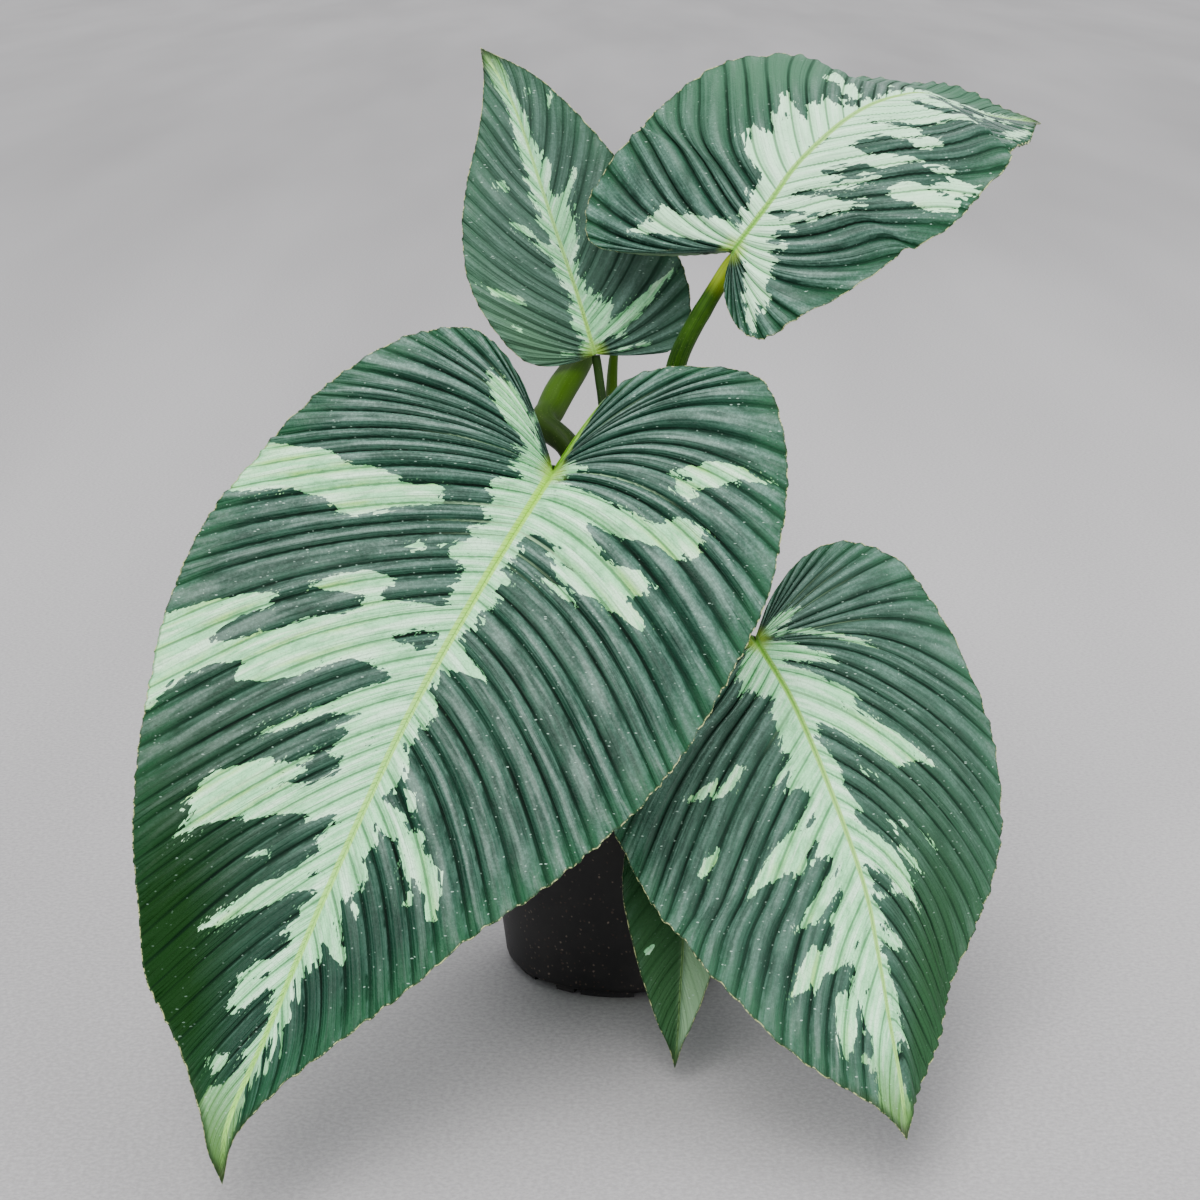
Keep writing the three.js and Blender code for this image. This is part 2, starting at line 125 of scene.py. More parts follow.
def bumped(start, height, strength, distance):
    return start.add("ShaderNodeBump", None,
                     {"Strength": strength, "Distance": distance, "Height": height})


def kept(start, name):
    # a value that the piece's own points carry
    return start.add("ShaderNodeAttribute", {"attribute_name": name}, None, out=2)


def placeOf(start):
    return start.add("ShaderNodeTexCoord", None, None, out=3)


# Camera, floor and light
view = {
    "place": (-0.008, -0.938, 0.4184),   # metres
    "down": 16.0,                        # degrees below level
    "lens": 75.0, "sensor": 36.0,
    "floorSize": 30, "floorMiddle": (0, 6, 0),
    "floorDark": rgb(143, 141, 142), "floor": rgb(167, 165, 166),
}


def makeStage():
    camera = bpy.data.objects.new("camera", bpy.data.cameras.new("camera"))
    bpy.context.scene.collection.objects.link(camera)
    camera.location = view["place"]
    camera.rotation_euler = (math.radians(90 - view["down"]), 0, 0)
    camera.data.lens = view["lens"]
    camera.data.sensor_width = view["sensor"]
    bpy.context.scene.camera = camera

    bpy.ops.mesh.primitive_plane_add(size=view["floorSize"], location=view["floorMiddle"])
    floor = bpy.context.object
    floor.name = "floor"
    finish, shader, start = newFinish("stageFloor", Roughness=0.9)
    cloud = placeOf(start).spread(1, 0.15, 1).noise(3.0, 3.0, 0.5)
    grain = placeOf(start).noise(520.0, 3.0, 0.7)
    tone = (cloud * 0.4 + grain * 0.6).step(0.34, 0.66)
    feed(shader, start, Base_Color=tone.blend(view["floorDark"], view["floor"]))
    floor.data.materials.append(finish)


lamps = [
    # name, kind, place, aimed at, size (metres, or degrees for the sun), strength, colour
    ("daylight", "SUN", (-0.3, -0.8, 1.15), (0, 0, 0), 42, 3.3, (1.0, 0.985, 0.96)),
    ("softboxOver", "AREA", (-0.1, 0.3, 1.6), (0, -0.05, 0.2), 1.2, 16.0, (1.0, 0.99, 0.98)),
    ("windowBehind", "AREA", (0.5, 1.7, 1.3), (0, 0, 0.25), 1.2, 7.0, (0.96, 0.985, 1.0)),
    ("fillRight", "AREA", (0.95, -0.95, 0.75), (0.05, -0.08, 0.2), 1.0, 13.0, (1.0, 0.99, 0.98)),
]
roomLight = {"colour": (0.93, 0.955, 1.0, 1), "strength": 0.9}


def makeLamps():
    for name, kind, place, aim, size, strength, colour in lamps:
        lamp = bpy.data.lights.new(name, kind)
        if kind == "SUN":
            lamp.angle = math.radians(size)
        else:
            lamp.size = size
        lamp.energy = strength
        lamp.color = colour
        ob = bpy.data.objects.new(name, lamp)
        bpy.context.scene.collection.objects.link(ob)
        ob.location = place
        aimed = Vector(aim) - Vector(place)
        ob.rotation_euler = aimed.to_track_quat("-Z", "Y").to_euler()
    world = bpy.data.worlds.new("room")
    bpy.context.scene.world = world
    world.use_nodes = True
    background = world.node_tree.nodes["Background"]
    background.inputs["Color"].default_value = roomLight["colour"]
    background.inputs["Strength"].default_value = roomLight["strength"]


print("stage and light")
makeStage()
makeLamps()


# Leaf shapes. Each leaf is set out on its own flat plan: y runs from the sinus to the tip along
# the midrib and x away from it. A row of veins gives the start on the midrib, then the end on the
# margin of half 0 and of half 1. Half 0 is the side of normal x midrib direction.
leafShapes = {
    "a": {
        "midrib": [(-25, -60, 215), (-49, -86, 181), (-75, -118, 140), (-99, -155, 94),
                   (-117, -193, 57), (-127, -216, 37), (-128, -226, 21)],
        "up": (0, -0.8, 0.6),
        "fold": [(12, 12), (12, 12)], "bend": (-22, -22), "lobeCurl": 10, "bow": (24, 12),
        "pleats": 36, "wave": (1.6, 5.5, 0.4),
        "veins": [
            (0, 1, -2, 2, -2), (0, 1, -24, 17, -16), (0, 7, -45, 36, -29), (0, 27, -59, 55, -33),
            (0, 52, -65.5, 72, -20), (1, 73, -44, 84, 3), (4, 86, -14, 92, 26),
            (14, 93, 15, 97, 48),
            (32, 94.5, 46, 99, 72), (52, 93, 76, 96, 100), (73, 88, 103, 89, 128),
            (95, 79, 127, 79, 156), (117, 67, 150, 68, 180), (140, 54, 172, 57, 200),
            (163, 42, 195, 45, 222), (187, 30, 213, 33, 235), (210, 19, 231, 20, 247),
            (233, 10, 249, 9, 259), (255, 3, 264, 4, 270),
        ],
    },
    "b": {
        "midrib": [(50, -50, 148), (63, -66, 129), (75, -96, 105), (84, -128, 83),
                   (87, -152, 67), (89, -174, 52), (91, -190, 39), (92, -204, 25)],
        "up": (0.1, -0.75, 0.6),
        "fold": [(5, -10, -25, -35, -35), (10, 5, 0, -5)], "bend": (-20, -20), "lobeCurl": 0,
        "bow": (8, 15), "pleats": 30, "wave": (1.4, 4.5, 1.9),
        "veins": [
            (0, 1, -2, 2, -2), (0, 14, -13, 9, -17), (0, 33, -22, 24, -29), (0, 52, -22, 43, -32),
            (0, 66, -9, 60, -24), (0, 70.5, 11, 73, -6), (0.5, 75, 32, 80, 18), (1, 79, 52, 82, 45),
            (4, 76, 74, 79, 72), (14, 66, 93, 75, 96), (30, 54, 110, 69, 117),
            (48, 43, 127, 61, 135),
            (67, 34, 144, 51, 151), (87, 26, 159, 40, 165), (108, 18, 173, 29, 176),
            (130, 12, 183, 19, 186), (152, 6.5, 191, 10, 193), (175, 2.5, 198, 4, 198.5),
        ],
    },
    "c": {
        "midrib": [(-10, 52, 237), (-17, 57, 260), (-25, 63, 283), (-33, 71, 306),
                   (-41, 78, 329), (-48, 83, 343), (-56, 88, 355)],
        "up": (0, -0.95, 0),
        "fold": [(12, 12), (12, 12)], "bend": (-10, -10), "lobeCurl": 0, "bow": (10, 10),
        "pleats": 22, "wave": (1.2, 4, 0.9),
        "veins": [
            (0, 1.5, -0.5, 1.5, -0.5), (0, 9, -1, 9, -3), (0, 20, 0.5, 20, -6), (0, 29, 6, 32, -7),
            (0.5, 35.5, 18, 42, 4), (2, 39, 31, 44.5, 18), (7, 40, 44, 43.5, 33),
            (16, 37.5, 58, 40, 48), (28, 33, 71, 35, 63), (41, 27, 83, 30, 78),
            (55, 20.5, 94, 24.5, 91), (70, 14.5, 105, 18, 103), (86, 9, 115, 11.5, 114),
            (103, 4.5, 123, 5.5, 123),
        ],
    },
    "d": {
        "midrib": [(42, 0, 286), (56, 4, 304), (66, 9, 317), (81, 17, 330), (94, 27, 337),
                   (107, 38, 340), (118, 49, 340), (132, 61, 335), (148, 75, 329), (172, 97, 324)],
        "up": (-0.3, -0.55, 0.75),
        "fold": [(10, 12, 13, 2, -8, 8, 18), (-15, -15, -15, 0, 5, 5)], "bend": (-10, -30),
        "lobeCurl": 0, "bow": (14, 12), "pleats": 24, "wave": (1.5, 4.5, 2.6),
        "veins": [
            (0, 1.5, -1, 1.5, -1), (0, 14, -8, 4, -9), (0, 29, -18, 11, -18), (0, 45, -27, 22, -23),
            (0, 60, -27, 32, -20), (0.5, 71, -14, 36.5, -9), (3, 71.5, 4, 43, 5),
            (9, 67, 23, 50, 23),
            (19, 64, 40, 56, 41), (32, 58, 57, 59.5, 60), (47, 51, 74, 58.5, 78),
            (63, 43, 91, 55, 97), (80, 35, 109, 48, 114), (98, 29, 127, 39, 131),
            (117, 25, 144, 30, 146), (136, 19, 159, 20, 158), (154, 12, 171, 11, 169.5),
            (170, 5, 180, 4.5, 178.5),
        ],
    },
    "e": {
        "midrib": [(15, -80, 100), (20, -93, 78), (22, -103, 55), (21, -109, 34), (20, -114, 17),
                   (19, -117, 7)],
        "up": (0, -0.95, 0.2),
        "fold": [(35, 35), (10, 10)], "bend": (0, 0), "lobeCurl": 0, "bow": (14, 14),
        "pleats": 9, "wave": (0.6, 3, 0.5),
        "veins": [
            (0, 1, -0.5, 1, -0.5), (0.5, 8, 4, 9, 3), (4, 13, 15, 16, 14), (11, 16, 27, 20, 26),
            (21, 17, 39, 21.5, 38), (33, 16, 51, 20, 50), (46, 13.5, 63, 17, 62),
            (60, 10, 74, 12.5, 74), (74, 5.5, 85, 8, 85), (87, 2, 94, 3, 94),
        ],
    },
}

# What a grower would change about each leaf, with pairs for its halves and lists from the sinus to
# the tip: ridges to a drawn vein, how deep they are, how far the veins lean towards the tip on
# their way out (in drawn veins), mesh rows and points per ridge, how far the margin waves up and is
# bitten in at each ridge, the half-width of the midrib at the sinus with its colours there and
# further on, how much half 0 is lightened as painted light, fine lines to a ridge, how dark the
# painted shade in the grooves is and how grey the green is, how light the pale parts, how dark the
# green near the tip, how plain the pale lines from the sinus, and zones of another green (half,
# share out, its spread, vein number, its spread).
leafLooks = {
    "a": {"fineness": ((1.2, 1.35, 1.3, 0.95, 0.85), (1.4, 1.4, 1.35, 1.2, 1.1)),
          "depth": ((1.1, 1.1, 1.2, 1.3, 0.8), (1.1, 1.1, 0.9, 0.45, 0.3)),
          "lean": ((0.4, 1.4, 2.4, 2.5, 0.6), (0.6, 2.2, 2, 1.4, 0.5)),
          "rows": 54, "perRidge": 8.5, "crimp": 0.8, "bite": 0.8, "rib": 2.7, "seed": 11,
          "ribColours": (rgb(142, 205, 40), rgb(148, 208, 98)), "litHalf": 0.0,
          "finer": 4, "crisp": 1.0, "haze": 0.0, "pale": 0.0, "tipDark": 0.8, "rays": 0.85,
          "zones": [(1, 0.9, 0.5, 27, 7)], "zoneGreen": rgb(0, 42, 0)},
    "b": {"fineness": ((1.25, 1.2, 1.15, 1.1, 1.1), (1.3, 1.15, 1.05, 0.95, 0.9)),
          "depth": ((0.6, 0.7, 0.75, 0.6, 0.4), (0.8, 0.95, 1.05, 1.0, 0.5)),
          "lean": ((0, -0.5, -1.1, -2.6, -1.5), (0, 0.4, 0.6, 0.6, 0.3)),
          "rows": 48, "perRidge": 10, "crimp": 0.7, "bite": 0.8, "rib": 2.1, "seed": 23,
          "ribColours": (rgb(100, 160, 42), rgb(130, 182, 92)), "litHalf": 0.0,
          "finer": 3, "crisp": 0.9, "haze": 0.1, "pale": 0.0, "tipDark": 0.2, "rays": 0.3,
          "zones": [(0, 0.9, 0.55, 22, 8)], "zoneGreen": rgb(14, 58, 20)},
    "c": {"fineness": ((0.9, 0.95, 0.95, 0.9, 0.9), (1.0, 1.0, 0.95, 0.9, 0.9)),
          "depth": ((0.35, 0.55, 0.6, 0.5, 0.3), (0.55, 0.65, 0.65, 0.5, 0.3)),
          "lean": ((0.3, 0.5, 0.5, 0.4, 0.2), (0.3, 0.5, 0.5, 0.4, 0.2)),
          "rows": 36, "perRidge": 11, "crimp": 0.6, "bite": 0.7, "rib": 1.4, "seed": 35,
          "ribColours": (rgb(150, 204, 90), rgb(152, 206, 122)), "litHalf": 0.0,
          "finer": 3, "crisp": 0.65, "haze": 0.26, "pale": 0.0, "tipDark": 0.0, "rays": 0.0,
          "zones": [(0, 0.6, 0.55, 6, 4.5)], "zoneGreen": rgb(72, 112, 82)},
    "d": {"fineness": ((1.4, 1.35, 1.5, 1.6, 1.5), (1.8, 1.6, 1.5, 1.4, 1.3)),
          "depth": ((1.4, 1.6, 1.05, 0.15, 0.05), (0.9, 1.05, 0.9, 0.4, 0.2)),
          "lean": ((0, 1, 1.2, 1, 0.5), (0, 0.2, 3, 4, 1.5)),
          "rows": 46, "perRidge": 8.5, "crimp": 0.6, "bite": 0.7, "rib": 1.9, "seed": 47,
          "ribColours": (rgb(106, 170, 52), rgb(138, 192, 98)), "litHalf": 0.0,
          "finer": 3, "crisp": 1.0, "haze": 0.0, "pale": 0.5, "tipDark": 0.0, "rays": 0.0,
          "zones": [(0, 0.8, 0.5, 14, 4), (0, 0.6, 0.8, 20.5, 4.5)], "zoneGreen": rgb(60, 100, 76)},
    "e": {"fineness": ((1.4, 1.4, 1.4), (1.4, 1.4, 1.4)),
          "depth": ((0.2, 0.2, 0.2), (0.3, 0.3, 0.3)), "lean": ((0.3, 0.3, 0.3), (0.3, 0.3, 0.3)),
          "rows": 24, "perRidge": 8, "crimp": 0.2, "bite": 0.2, "rib": 0.7, "seed": 59,
          "ribColours": (rgb(90, 130, 80), rgb(60, 96, 62)), "litHalf": 0.85,
          "finer": 3, "crisp": 0.25, "haze": 0.0, "pale": 0.0, "tipDark": 0.0, "rays": 0.0,
          "zones": [(1, 0.4, 1.2, 6, 9)], "zoneGreen": rgb(48, 86, 50)},
}

# Variegation, by leaf and half: outlines in (share of the way from midrib to margin, vein number),
# with the veins numbered as in "pleats". Pale patches first, then the dark islands in them.
patches = {
    "a": [
        ([
            [(0, 9.4), (.09, 9.7), (.11, 10.6), (.135, 11), (.06, 11.3), (.05, 11.8), (.1, 12.2),
             (.2, 12.6), (.32, 13), (.48, 13.1), (.52, 12.8), (.58, 12.5), (.67, 12.55),
             (.66, 13.2),
             (.61, 13.65), (.5, 13.75), (.4, 13.9), (.25, 13.85), (.23, 14.2), (.3, 14.55),
             (.4, 14.85), (.5, 14.65), (.565, 14.7), (.54, 15.1), (.5, 15.35), (.52, 15.6),
             (.61, 15.75), (.6, 15.95), (.4, 15.95), (.34, 16.1), (.24, 15.95), (.2, 15.55),
             (.16, 15.2), (.2, 14.95), (.12, 14.75), (.04, 14.7), (.04, 15.1), (.06, 15.5),
             (.05, 16), (.04, 16.3), (.085, 16.6), (.06, 17), (.09, 17.4), (.05, 17.9), (.07, 18.2),
             (.04, 18.6), (.05, 19.2), (.13, 19.5), (.2, 19.8), (.09, 19.85), (.04, 20.1),
             (.04, 21), (.11, 21.4), (.08, 21.8), (.09, 22.3), (.06, 22.6), (.12, 23.5), (.1, 24),
             (.06, 24.25), (.15, 24.5), (.2, 24.35), (.3, 24.65), (.37, 24.45), (.42, 24.75),
             (.5, 24.85), (.58, 24.8), (.65, 25.1), (.73, 25.5), (.7, 25.75), (.6, 25.5),
             (.5, 25.4), (.46, 25.6), (.36, 25.3), (.27, 24.95), (.2, 25.15), (.1, 25), (.15, 25.5),
             (.12, 25.95), (.2, 26.4), (.17, 27), (.15, 27.5), (.2, 28), (.3, 28.5), (.36, 28.3),
             (.41, 28.4), (.37, 28.7), (.28, 28.65), (.19, 28.5), (.2, 29), (.15, 29.4),
             (.07, 29.9),
             (.2, 30.3), (.25, 30.9), (.16, 31.2), (.14, 32), (.22, 32.6), (.12, 33.1), (.3, 33.8),
             (1.1, 34.3), (1.1, 37), (0, 37)],
            [(.48, 10.95), (.55, 10.75), (.62, 10.45), (.7, 10.2), (.8, 10.15), (.93, 10.3),
             (.79, 10.5), (.7, 10.95), (.64, 11.1), (.6, 11.35), (.62, 11.6), (.56, 11.9),
             (.52, 11.6), (.53, 11.3), (.58, 11)],
            [(.2, 16.15), (.3, 16.2), (.33, 16.4), (.27, 16.45)],
            [(.14, 23.8), (.2, 23.8), (.26, 24.1), (.22, 24.2)],
            [(.5, 25.7), (.55, 25.9), (.51, 26.1)], [(.24, 27.2), (.29, 27.15), (.31, 27.4)],
            [(.22, 31.3), (.36, 31.7), (.3, 31.9)], [(.28, 32), (.42, 32.3), (.33, 32.5)],
        ], [
            [(.05, 12.3), (.09, 12.5), (.06, 12.7)], [(.04, 10.4), (.07, 10.5), (.06, 10.9)],
            [(.23, 15.4), (.27, 15.45), (.25, 15.6)],
        ]),
        ([
            [(0, 9.6), (.05, 8.3), (.1, 7.6), (.17, 6.6), (.25, 5.3), (.35, 4.5), (.45, 3.6),
             (.42, 4.4), (.33, 5.5), (.45, 5.3), (.55, 5.45), (.61, 5.85), (.58, 6.15), (.63, 6.4),
             (.55, 6.9), (.5, 7.2), (.45, 7.55), (.38, 7.9), (.3, 8), (.2, 8.3), (.15, 9),
             (.13, 9.3), (.2, 9.6), (.13, 9.9), (.14, 10.9), (.14, 11.9), (.09, 12.1), (.09, 12.4),
             (.16, 13.2), (.14, 13.6), (.1, 13.9), (.12, 14.3), (.09, 14.7), (.13, 15.2),
             (.1, 15.4), (.17, 16), (.1, 16.4), (.07, 16.9), (.09, 17.4), (.06, 18), (.2, 18.05),
             (.29, 18.05), (.27, 17.8), (.28, 17.35), (.37, 17.2), (.45, 17.4), (.53, 17.6),
             (.46, 17.8), (.4, 17.85), (.33, 17.95), (.32, 18.35), (.38, 18.55), (.45, 18.55),
             (.6, 18.8), (.77, 18.8), (.83, 18.6), (.73, 18.2), (.65, 18.1), (.62, 17.85),
             (.72, 17.7), (.85, 17.65), (1.1, 17.6), (1.1, 19.8), (.97, 19.6), (.9, 19.3),
             (.8, 19.2),
             (.66, 19.4), (.69, 19.8), (.6, 20.05), (.45, 20.15), (.35, 19.9), (.3, 19.85),
             (.2, 20), (.13, 20.45), (.1, 20.5), (.2, 20.85), (.3, 21.1), (.4, 21.3), (.55, 21.5),
             (.5, 21.6), (.4, 21.6), (.3, 21.4), (.16, 21.6), (.22, 22), (.2, 22.3), (.25, 22.6),
             (.4, 22.8), (.43, 22.6), (.47, 22.4), (.6, 22.3), (.68, 22.2), (.72, 22.3),
             (.79, 22.8), (.75, 22.95), (.77, 23.2), (.83, 23.55), (.7, 23.6), (.55, 23.8),
             (.51, 24.1), (.42, 24.15), (.35, 24.3), (.25, 24.55), (.22, 24.85), (.12, 24.75),
             (.1, 25.1), (.15, 25.5), (.11, 25.95), (.2, 26.15), (.3, 26.3), (.4, 26.2),
             (.5, 26.4), (.7, 26.5), (.6, 26.75), (.45, 26.85), (.35, 27), (.2, 26.9), (.1, 27.1),
             (.04, 27.35), (.14, 27.6), (.1, 27.9), (.18, 28.2), (.1, 28.4), (.15, 28.9),
             (.22, 29), (.32, 28.85), (.4, 29), (.45, 29.45), (.5, 29.6), (.48, 29.95), (.4, 30.05),
             (.3, 30), (.2, 29.85), (.12, 30.1), (.1, 30.7), (.05, 31.2), (.1, 31.5), (.18, 31.6),
             (.28, 31.9), (.2, 32.2), (.35, 32.5), (.55, 32.3), (.75, 31.9), (1.1, 31.8), (1.1, 37),
             (0, 37)],
            [(.55, 31.3), (.7, 31.05), (.74, 31.4), (.62, 31.6)],
            [(1.1, 12.4), (.92, 12.8), (.85, 13.05), (.75, 13.1), (.7, 13.3), (.66, 13.75),
             (.58, 13.7), (.5, 13.9), (.4, 14.2), (.33, 14), (.28, 14.1), (.28, 14.6), (.38, 15.05),
             (.45, 15.4), (.5, 15.5), (.55, 15.4), (.62, 15), (.68, 14.8), (.75, 14.6), (.93, 14.6),
             (1.1, 14)],
            [(.28, 16.2), (.25, 15.95), (.24, 16.2), (.26, 16.35)],
            [(.48, 25.3), (.42, 25.22), (.39, 25.35)],
        ], [
            [(.27, 5.75), (.2, 6.4), (.16, 7), (.2, 6.9), (.25, 6.3)],
            [(.2, 19.2), (.13, 18.85), (.05, 18.8), (.04, 19.3), (.08, 19.55), (.15, 19.35)],
            [(.43, 23.35), (.33, 23.1), (.35, 22.85), (.28, 22.6), (.2, 22.85), (.17, 23.25),
             (.2, 23.5), (.28, 23.65), (.33, 23.45)],
            [(.1, 22.4), (.07, 22.5), (.09, 22.7)],
            [(.3, 29.4), (.22, 29.3), (.16, 29.55), (.22, 29.6)],
            [(.14, 26.5), (.09, 26.6), (.12, 26.7)], [(.22, 32.1), (.1, 32.7), (.16, 32.5)],
        ]),
    ],
    "b": [
        ([
            [(.1, 5.2), (.18, 5.4), (.28, 6.2), (.31, 6.8), (.25, 6.9), (.2, 7.6), (.13, 7),
             (.1, 6)],
            [(.05, 6.3), (.1, 7), (.14, 7.9), (.16, 8.9), (.14, 9.4), (.12, 9.7), (.1, 8.9),
             (.06, 7.5)],
            [(.15, 8.9), (.25, 9.7), (.38, 10.7), (.48, 11.05), (.44, 11.25), (.36, 11),
             (.22, 9.95)],
            [(0, 11.4), (.07, 11.7), (.11, 11.9), (.15, 12.3), (.17, 12.8), (.24, 12.8),
             (.27, 13.1),
             (.24, 13.35), (.2, 13.4), (.15, 13.8), (.08, 13.85), (.05, 14.1), (.06, 14.45),
             (.2, 14.5), (.33, 14.3), (.3, 14.6), (.27, 14.95), (.4, 14.95), (.5, 14.75),
             (.64, 14.6), (.57, 15), (.52, 15.5), (.47, 15.9), (.42, 16.2), (.3, 16.4), (.2, 16.6),
             (.08, 16.8), (.08, 17.2), (.05, 17.5), (.04, 17.9), (.1, 18.1), (.14, 18.6),
             (.12, 18.9), (.1, 19.2), (.12, 19.45), (.2, 19.55), (.14, 19.8), (.13, 20.2),
             (.12, 20.6), (.2, 20.3), (.28, 20), (.4, 19.6), (.56, 19.6), (.51, 20.05),
             (.61, 19.95),
             (.55, 20.2), (.45, 20.75), (.37, 21.4), (.34, 21.3), (.38, 20.95), (.3, 21.1),
             (.25, 21.5), (.18, 21.8), (.1, 22.2), (.05, 22.6), (.15, 22.4), (.1, 22.9),
             (.08, 23.4),
             (.24, 23.2), (.18, 23.8), (.08, 24.3), (.2, 23.9), (.3, 23.2), (.35, 23), (.46, 22.65),
             (.42, 23), (.35, 23.4), (.3, 23.8), (.2, 24.2), (.1, 24.7), (0, 25.2)],
            [(0, 25.6), (.1, 25.1), (.2, 25), (.14, 25.5), (.3, 25.3), (.42, 25.6), (.3, 26.2),
             (.45, 26.2), (.6, 25.9), (.5, 26.4), (.4, 26.9), (.3, 27.4), (.15, 27.9), (0, 28.1)],
            [(.25, 17.5), (.33, 17.35), (.28, 17.6)], [(.46, 17.9), (.5, 17.6), (.5, 17.8)],
            [(.6, 17.3), (.68, 17.1), (.66, 17.25)], [(.4, 18.55), (.45, 18.3), (.43, 18.6)],
            [(.43, 19.2), (.47, 18.9), (.6, 18.5), (.58, 18.9), (.5, 19.2), (.44, 19.3)],
            [(.15, 22.9), (.28, 22.1), (.2, 22.8)], [(0, 28.9), (.3, 28.7), (1.1, 27.8),
             (1.1, 31), (0, 31)],
        ], [
            [(.23, 15.25), (.3, 15.05), (.42, 15.05), (.26, 15.2)],
            [(.1, 21.4), (.15, 21), (.13, 21.3)], [(.2, 21.45), (.26, 21.35), (.22, 21.55)],
        ]),
        ([
            [(0, 11.2), (.05, 11.8), (.11, 12.6), (.17, 12.8), (.16, 13.3), (.15, 13.7),
             (.19, 13.7),
             (.18, 14), (.15, 14.2), (.12, 14.7), (.12, 15), (.09, 15.3), (.07, 15.7), (.1, 15.9),
             (.11, 16.3), (.1, 16.8), (.14, 17.2), (.13, 17.5), (.1, 17.7), (.12, 17.9),
             (.2, 17.85),
             (.25, 17.95), (.2, 18.05), (.13, 18), (.14, 18.25), (.2, 18.4), (.18, 18.7),
             (.15, 18.9), (.11, 19), (.12, 19.4), (.16, 19.6), (.25, 19.6), (.35, 19.35),
             (.45, 19.15), (.6, 19.1), (.62, 19.2), (.5, 19.6), (.45, 19.9), (.4, 20.3),
             (.34, 20.7),
             (.28, 20.7), (.26, 20.5), (.19, 20.45), (.17, 20.8), (.25, 21), (.18, 21.3),
             (.14, 21.6), (.1, 21.75), (.3, 21.75), (.45, 21.7), (.52, 21.75), (.48, 21.95),
             (.42, 22.3), (.3, 22.4), (.2, 22.45), (.14, 22.8), (.2, 22.9), (.35, 22.75),
             (.3, 23.2),
             (.4, 23.3), (.45, 23.1), (.55, 22.5), (.63, 22.4), (.7, 22.4), (.8, 22.25),
             (.72, 22.7),
             (.67, 22.9), (.65, 23.3), (.57, 23.4), (.5, 23.7), (.42, 24), (.3, 24.4), (.3, 24.9),
             (.42, 25), (.48, 24.8), (.53, 24.4), (.65, 24.4), (.75, 24.7), (.8, 25), (.73, 25.5),
             (.65, 25.6), (.55, 25.6), (.47, 25.35), (.35, 25.5), (.4, 25.9), (.45, 26.2),
             (.42, 26.6), (.48, 26.95), (.6, 26.8), (.7, 26.7), (.62, 27.2), (.8, 27.4),
             (1.1, 27.4),
             (1.1, 31), (0, 31)],
            [(.62, 14.9), (.57, 15.1), (.53, 15.3), (.47, 15.6), (.48, 15.8), (.55, 15.5),
             (.6, 15.1)],
            [(.5, 15.9), (.42, 16.1), (.35, 16.1), (.33, 16.4), (.42, 16.4), (.48, 16.2)],
            [(.75, 16.75), (.68, 16.7), (.61, 17), (.62, 17.15), (.7, 17.05)],
            [(.7, 26.2), (.65, 26.2), (.6, 26.4), (.66, 26.5)],
        ], [
            [(.22, 19.9), (.15, 19.9), (.14, 20.2), (.2, 20.2)],
            [(.29, 24.35), (.18, 24.5), (.24, 24.3)],
            [(.2, 22.05), (.14, 22), (.16, 22.15)], [(.77, 25.1), (.74, 25.1), (.75, 25.25)],
            [(.28, 25.6), (.23, 25.8), (.26, 25.85)],
        ]),
    ],
    "c": [
        ([
            [(0, 5), (.09, 5.5), (.11, 7.5), (.08, 9), (.07, 9.5), (.12, 10.2), (.1, 10.9),
             (.07, 11.3), (.06, 12), (.1, 12.4), (.13, 13), (.1, 13.4), (.2, 13.7), (.27, 13.8),
             (.25, 14.05), (.15, 14.1), (.09, 14.4), (.08, 14.8), (.14, 15.1), (.2, 15.3),
             (.14, 15.7), (.2, 16.3), (.18, 16.7), (.25, 16.9), (.2, 17.4), (.22, 17.8), (.3, 18),
             (.25, 18.5), (.31, 19.1), (.25, 19.8), (.5, 20.4), (.6, 20.9), (1.1, 21.2), (1.1, 23),
             (0, 23)],
            [(.88, 9.7), (.75, 9.6), (.6, 9.8), (.45, 10), (.6, 10.15), (.7, 9.95)],
            [(.53, 13.8), (.45, 13.9), (.26, 14.1), (.3, 14.3), (.45, 14.1)],
            [(.68, 15.1), (.6, 15.25), (.52, 15.5), (.6, 15.5)],
            [(.37, 5.2), (.25, 5.9), (.34, 5.7)],
            [(.7, 7.4), (.65, 7.6), (.69, 7.6)],
        ], []),
        ([
            [(0, 5), (.04, 7), (.06, 8.6), (.1, 8.3), (.18, 8.5), (.24, 7.7), (.3, 7.3), (.31, 8.2),
             (.5, 8.3), (.9, 8.6), (.7, 8.9), (.45, 9.1), (.22, 9.3), (.2, 9.7), (.3, 10),
             (.25, 10.4), (.15, 10.6), (.18, 11), (.14, 11.4), (.1, 12), (.11, 12.6), (.07, 13),
             (.1, 13.5), (.22, 13.9), (.26, 14.3), (.2, 14.5), (.3, 14.9), (.25, 15.1), (.2, 15.35),
             (.45, 15.35), (.56, 15.3), (.53, 15.6), (.4, 15.65), (.25, 15.8), (.15, 16.2),
             (.15, 16.7), (.2, 17), (.31, 17.2), (.28, 17.5), (.15, 17.7), (.2, 18), (.15, 18.5),
             (.25, 19.3), (.22, 20), (.4, 20.5), (.6, 20.8), (1.1, 21), (1.1, 23), (0, 23)],
            [(.25, 5.6), (.4, 5.6), (.36, 5.9), (.25, 5.9)], [(.48, 5.7), (.56, 5.6), (.54, 5.9)],
            [(.82, 17.7), (.88, 17.6), (.86, 17.85)], [(.6, 19.2), (.68, 19.2), (.63, 19.4)],
        ], []),
    ],
    "d": [
        ([
            [(0, 7), (.04, 6.5), (.1, 7.1), (.2, 7.2), (.3, 7), (.4, 6.8), (.5, 6.6), (.6, 6.2),
             (.64, 6.2), (.58, 6.8), (.51, 7.25), (.57, 7.3), (.53, 7.7), (.52, 8), (.45, 8),
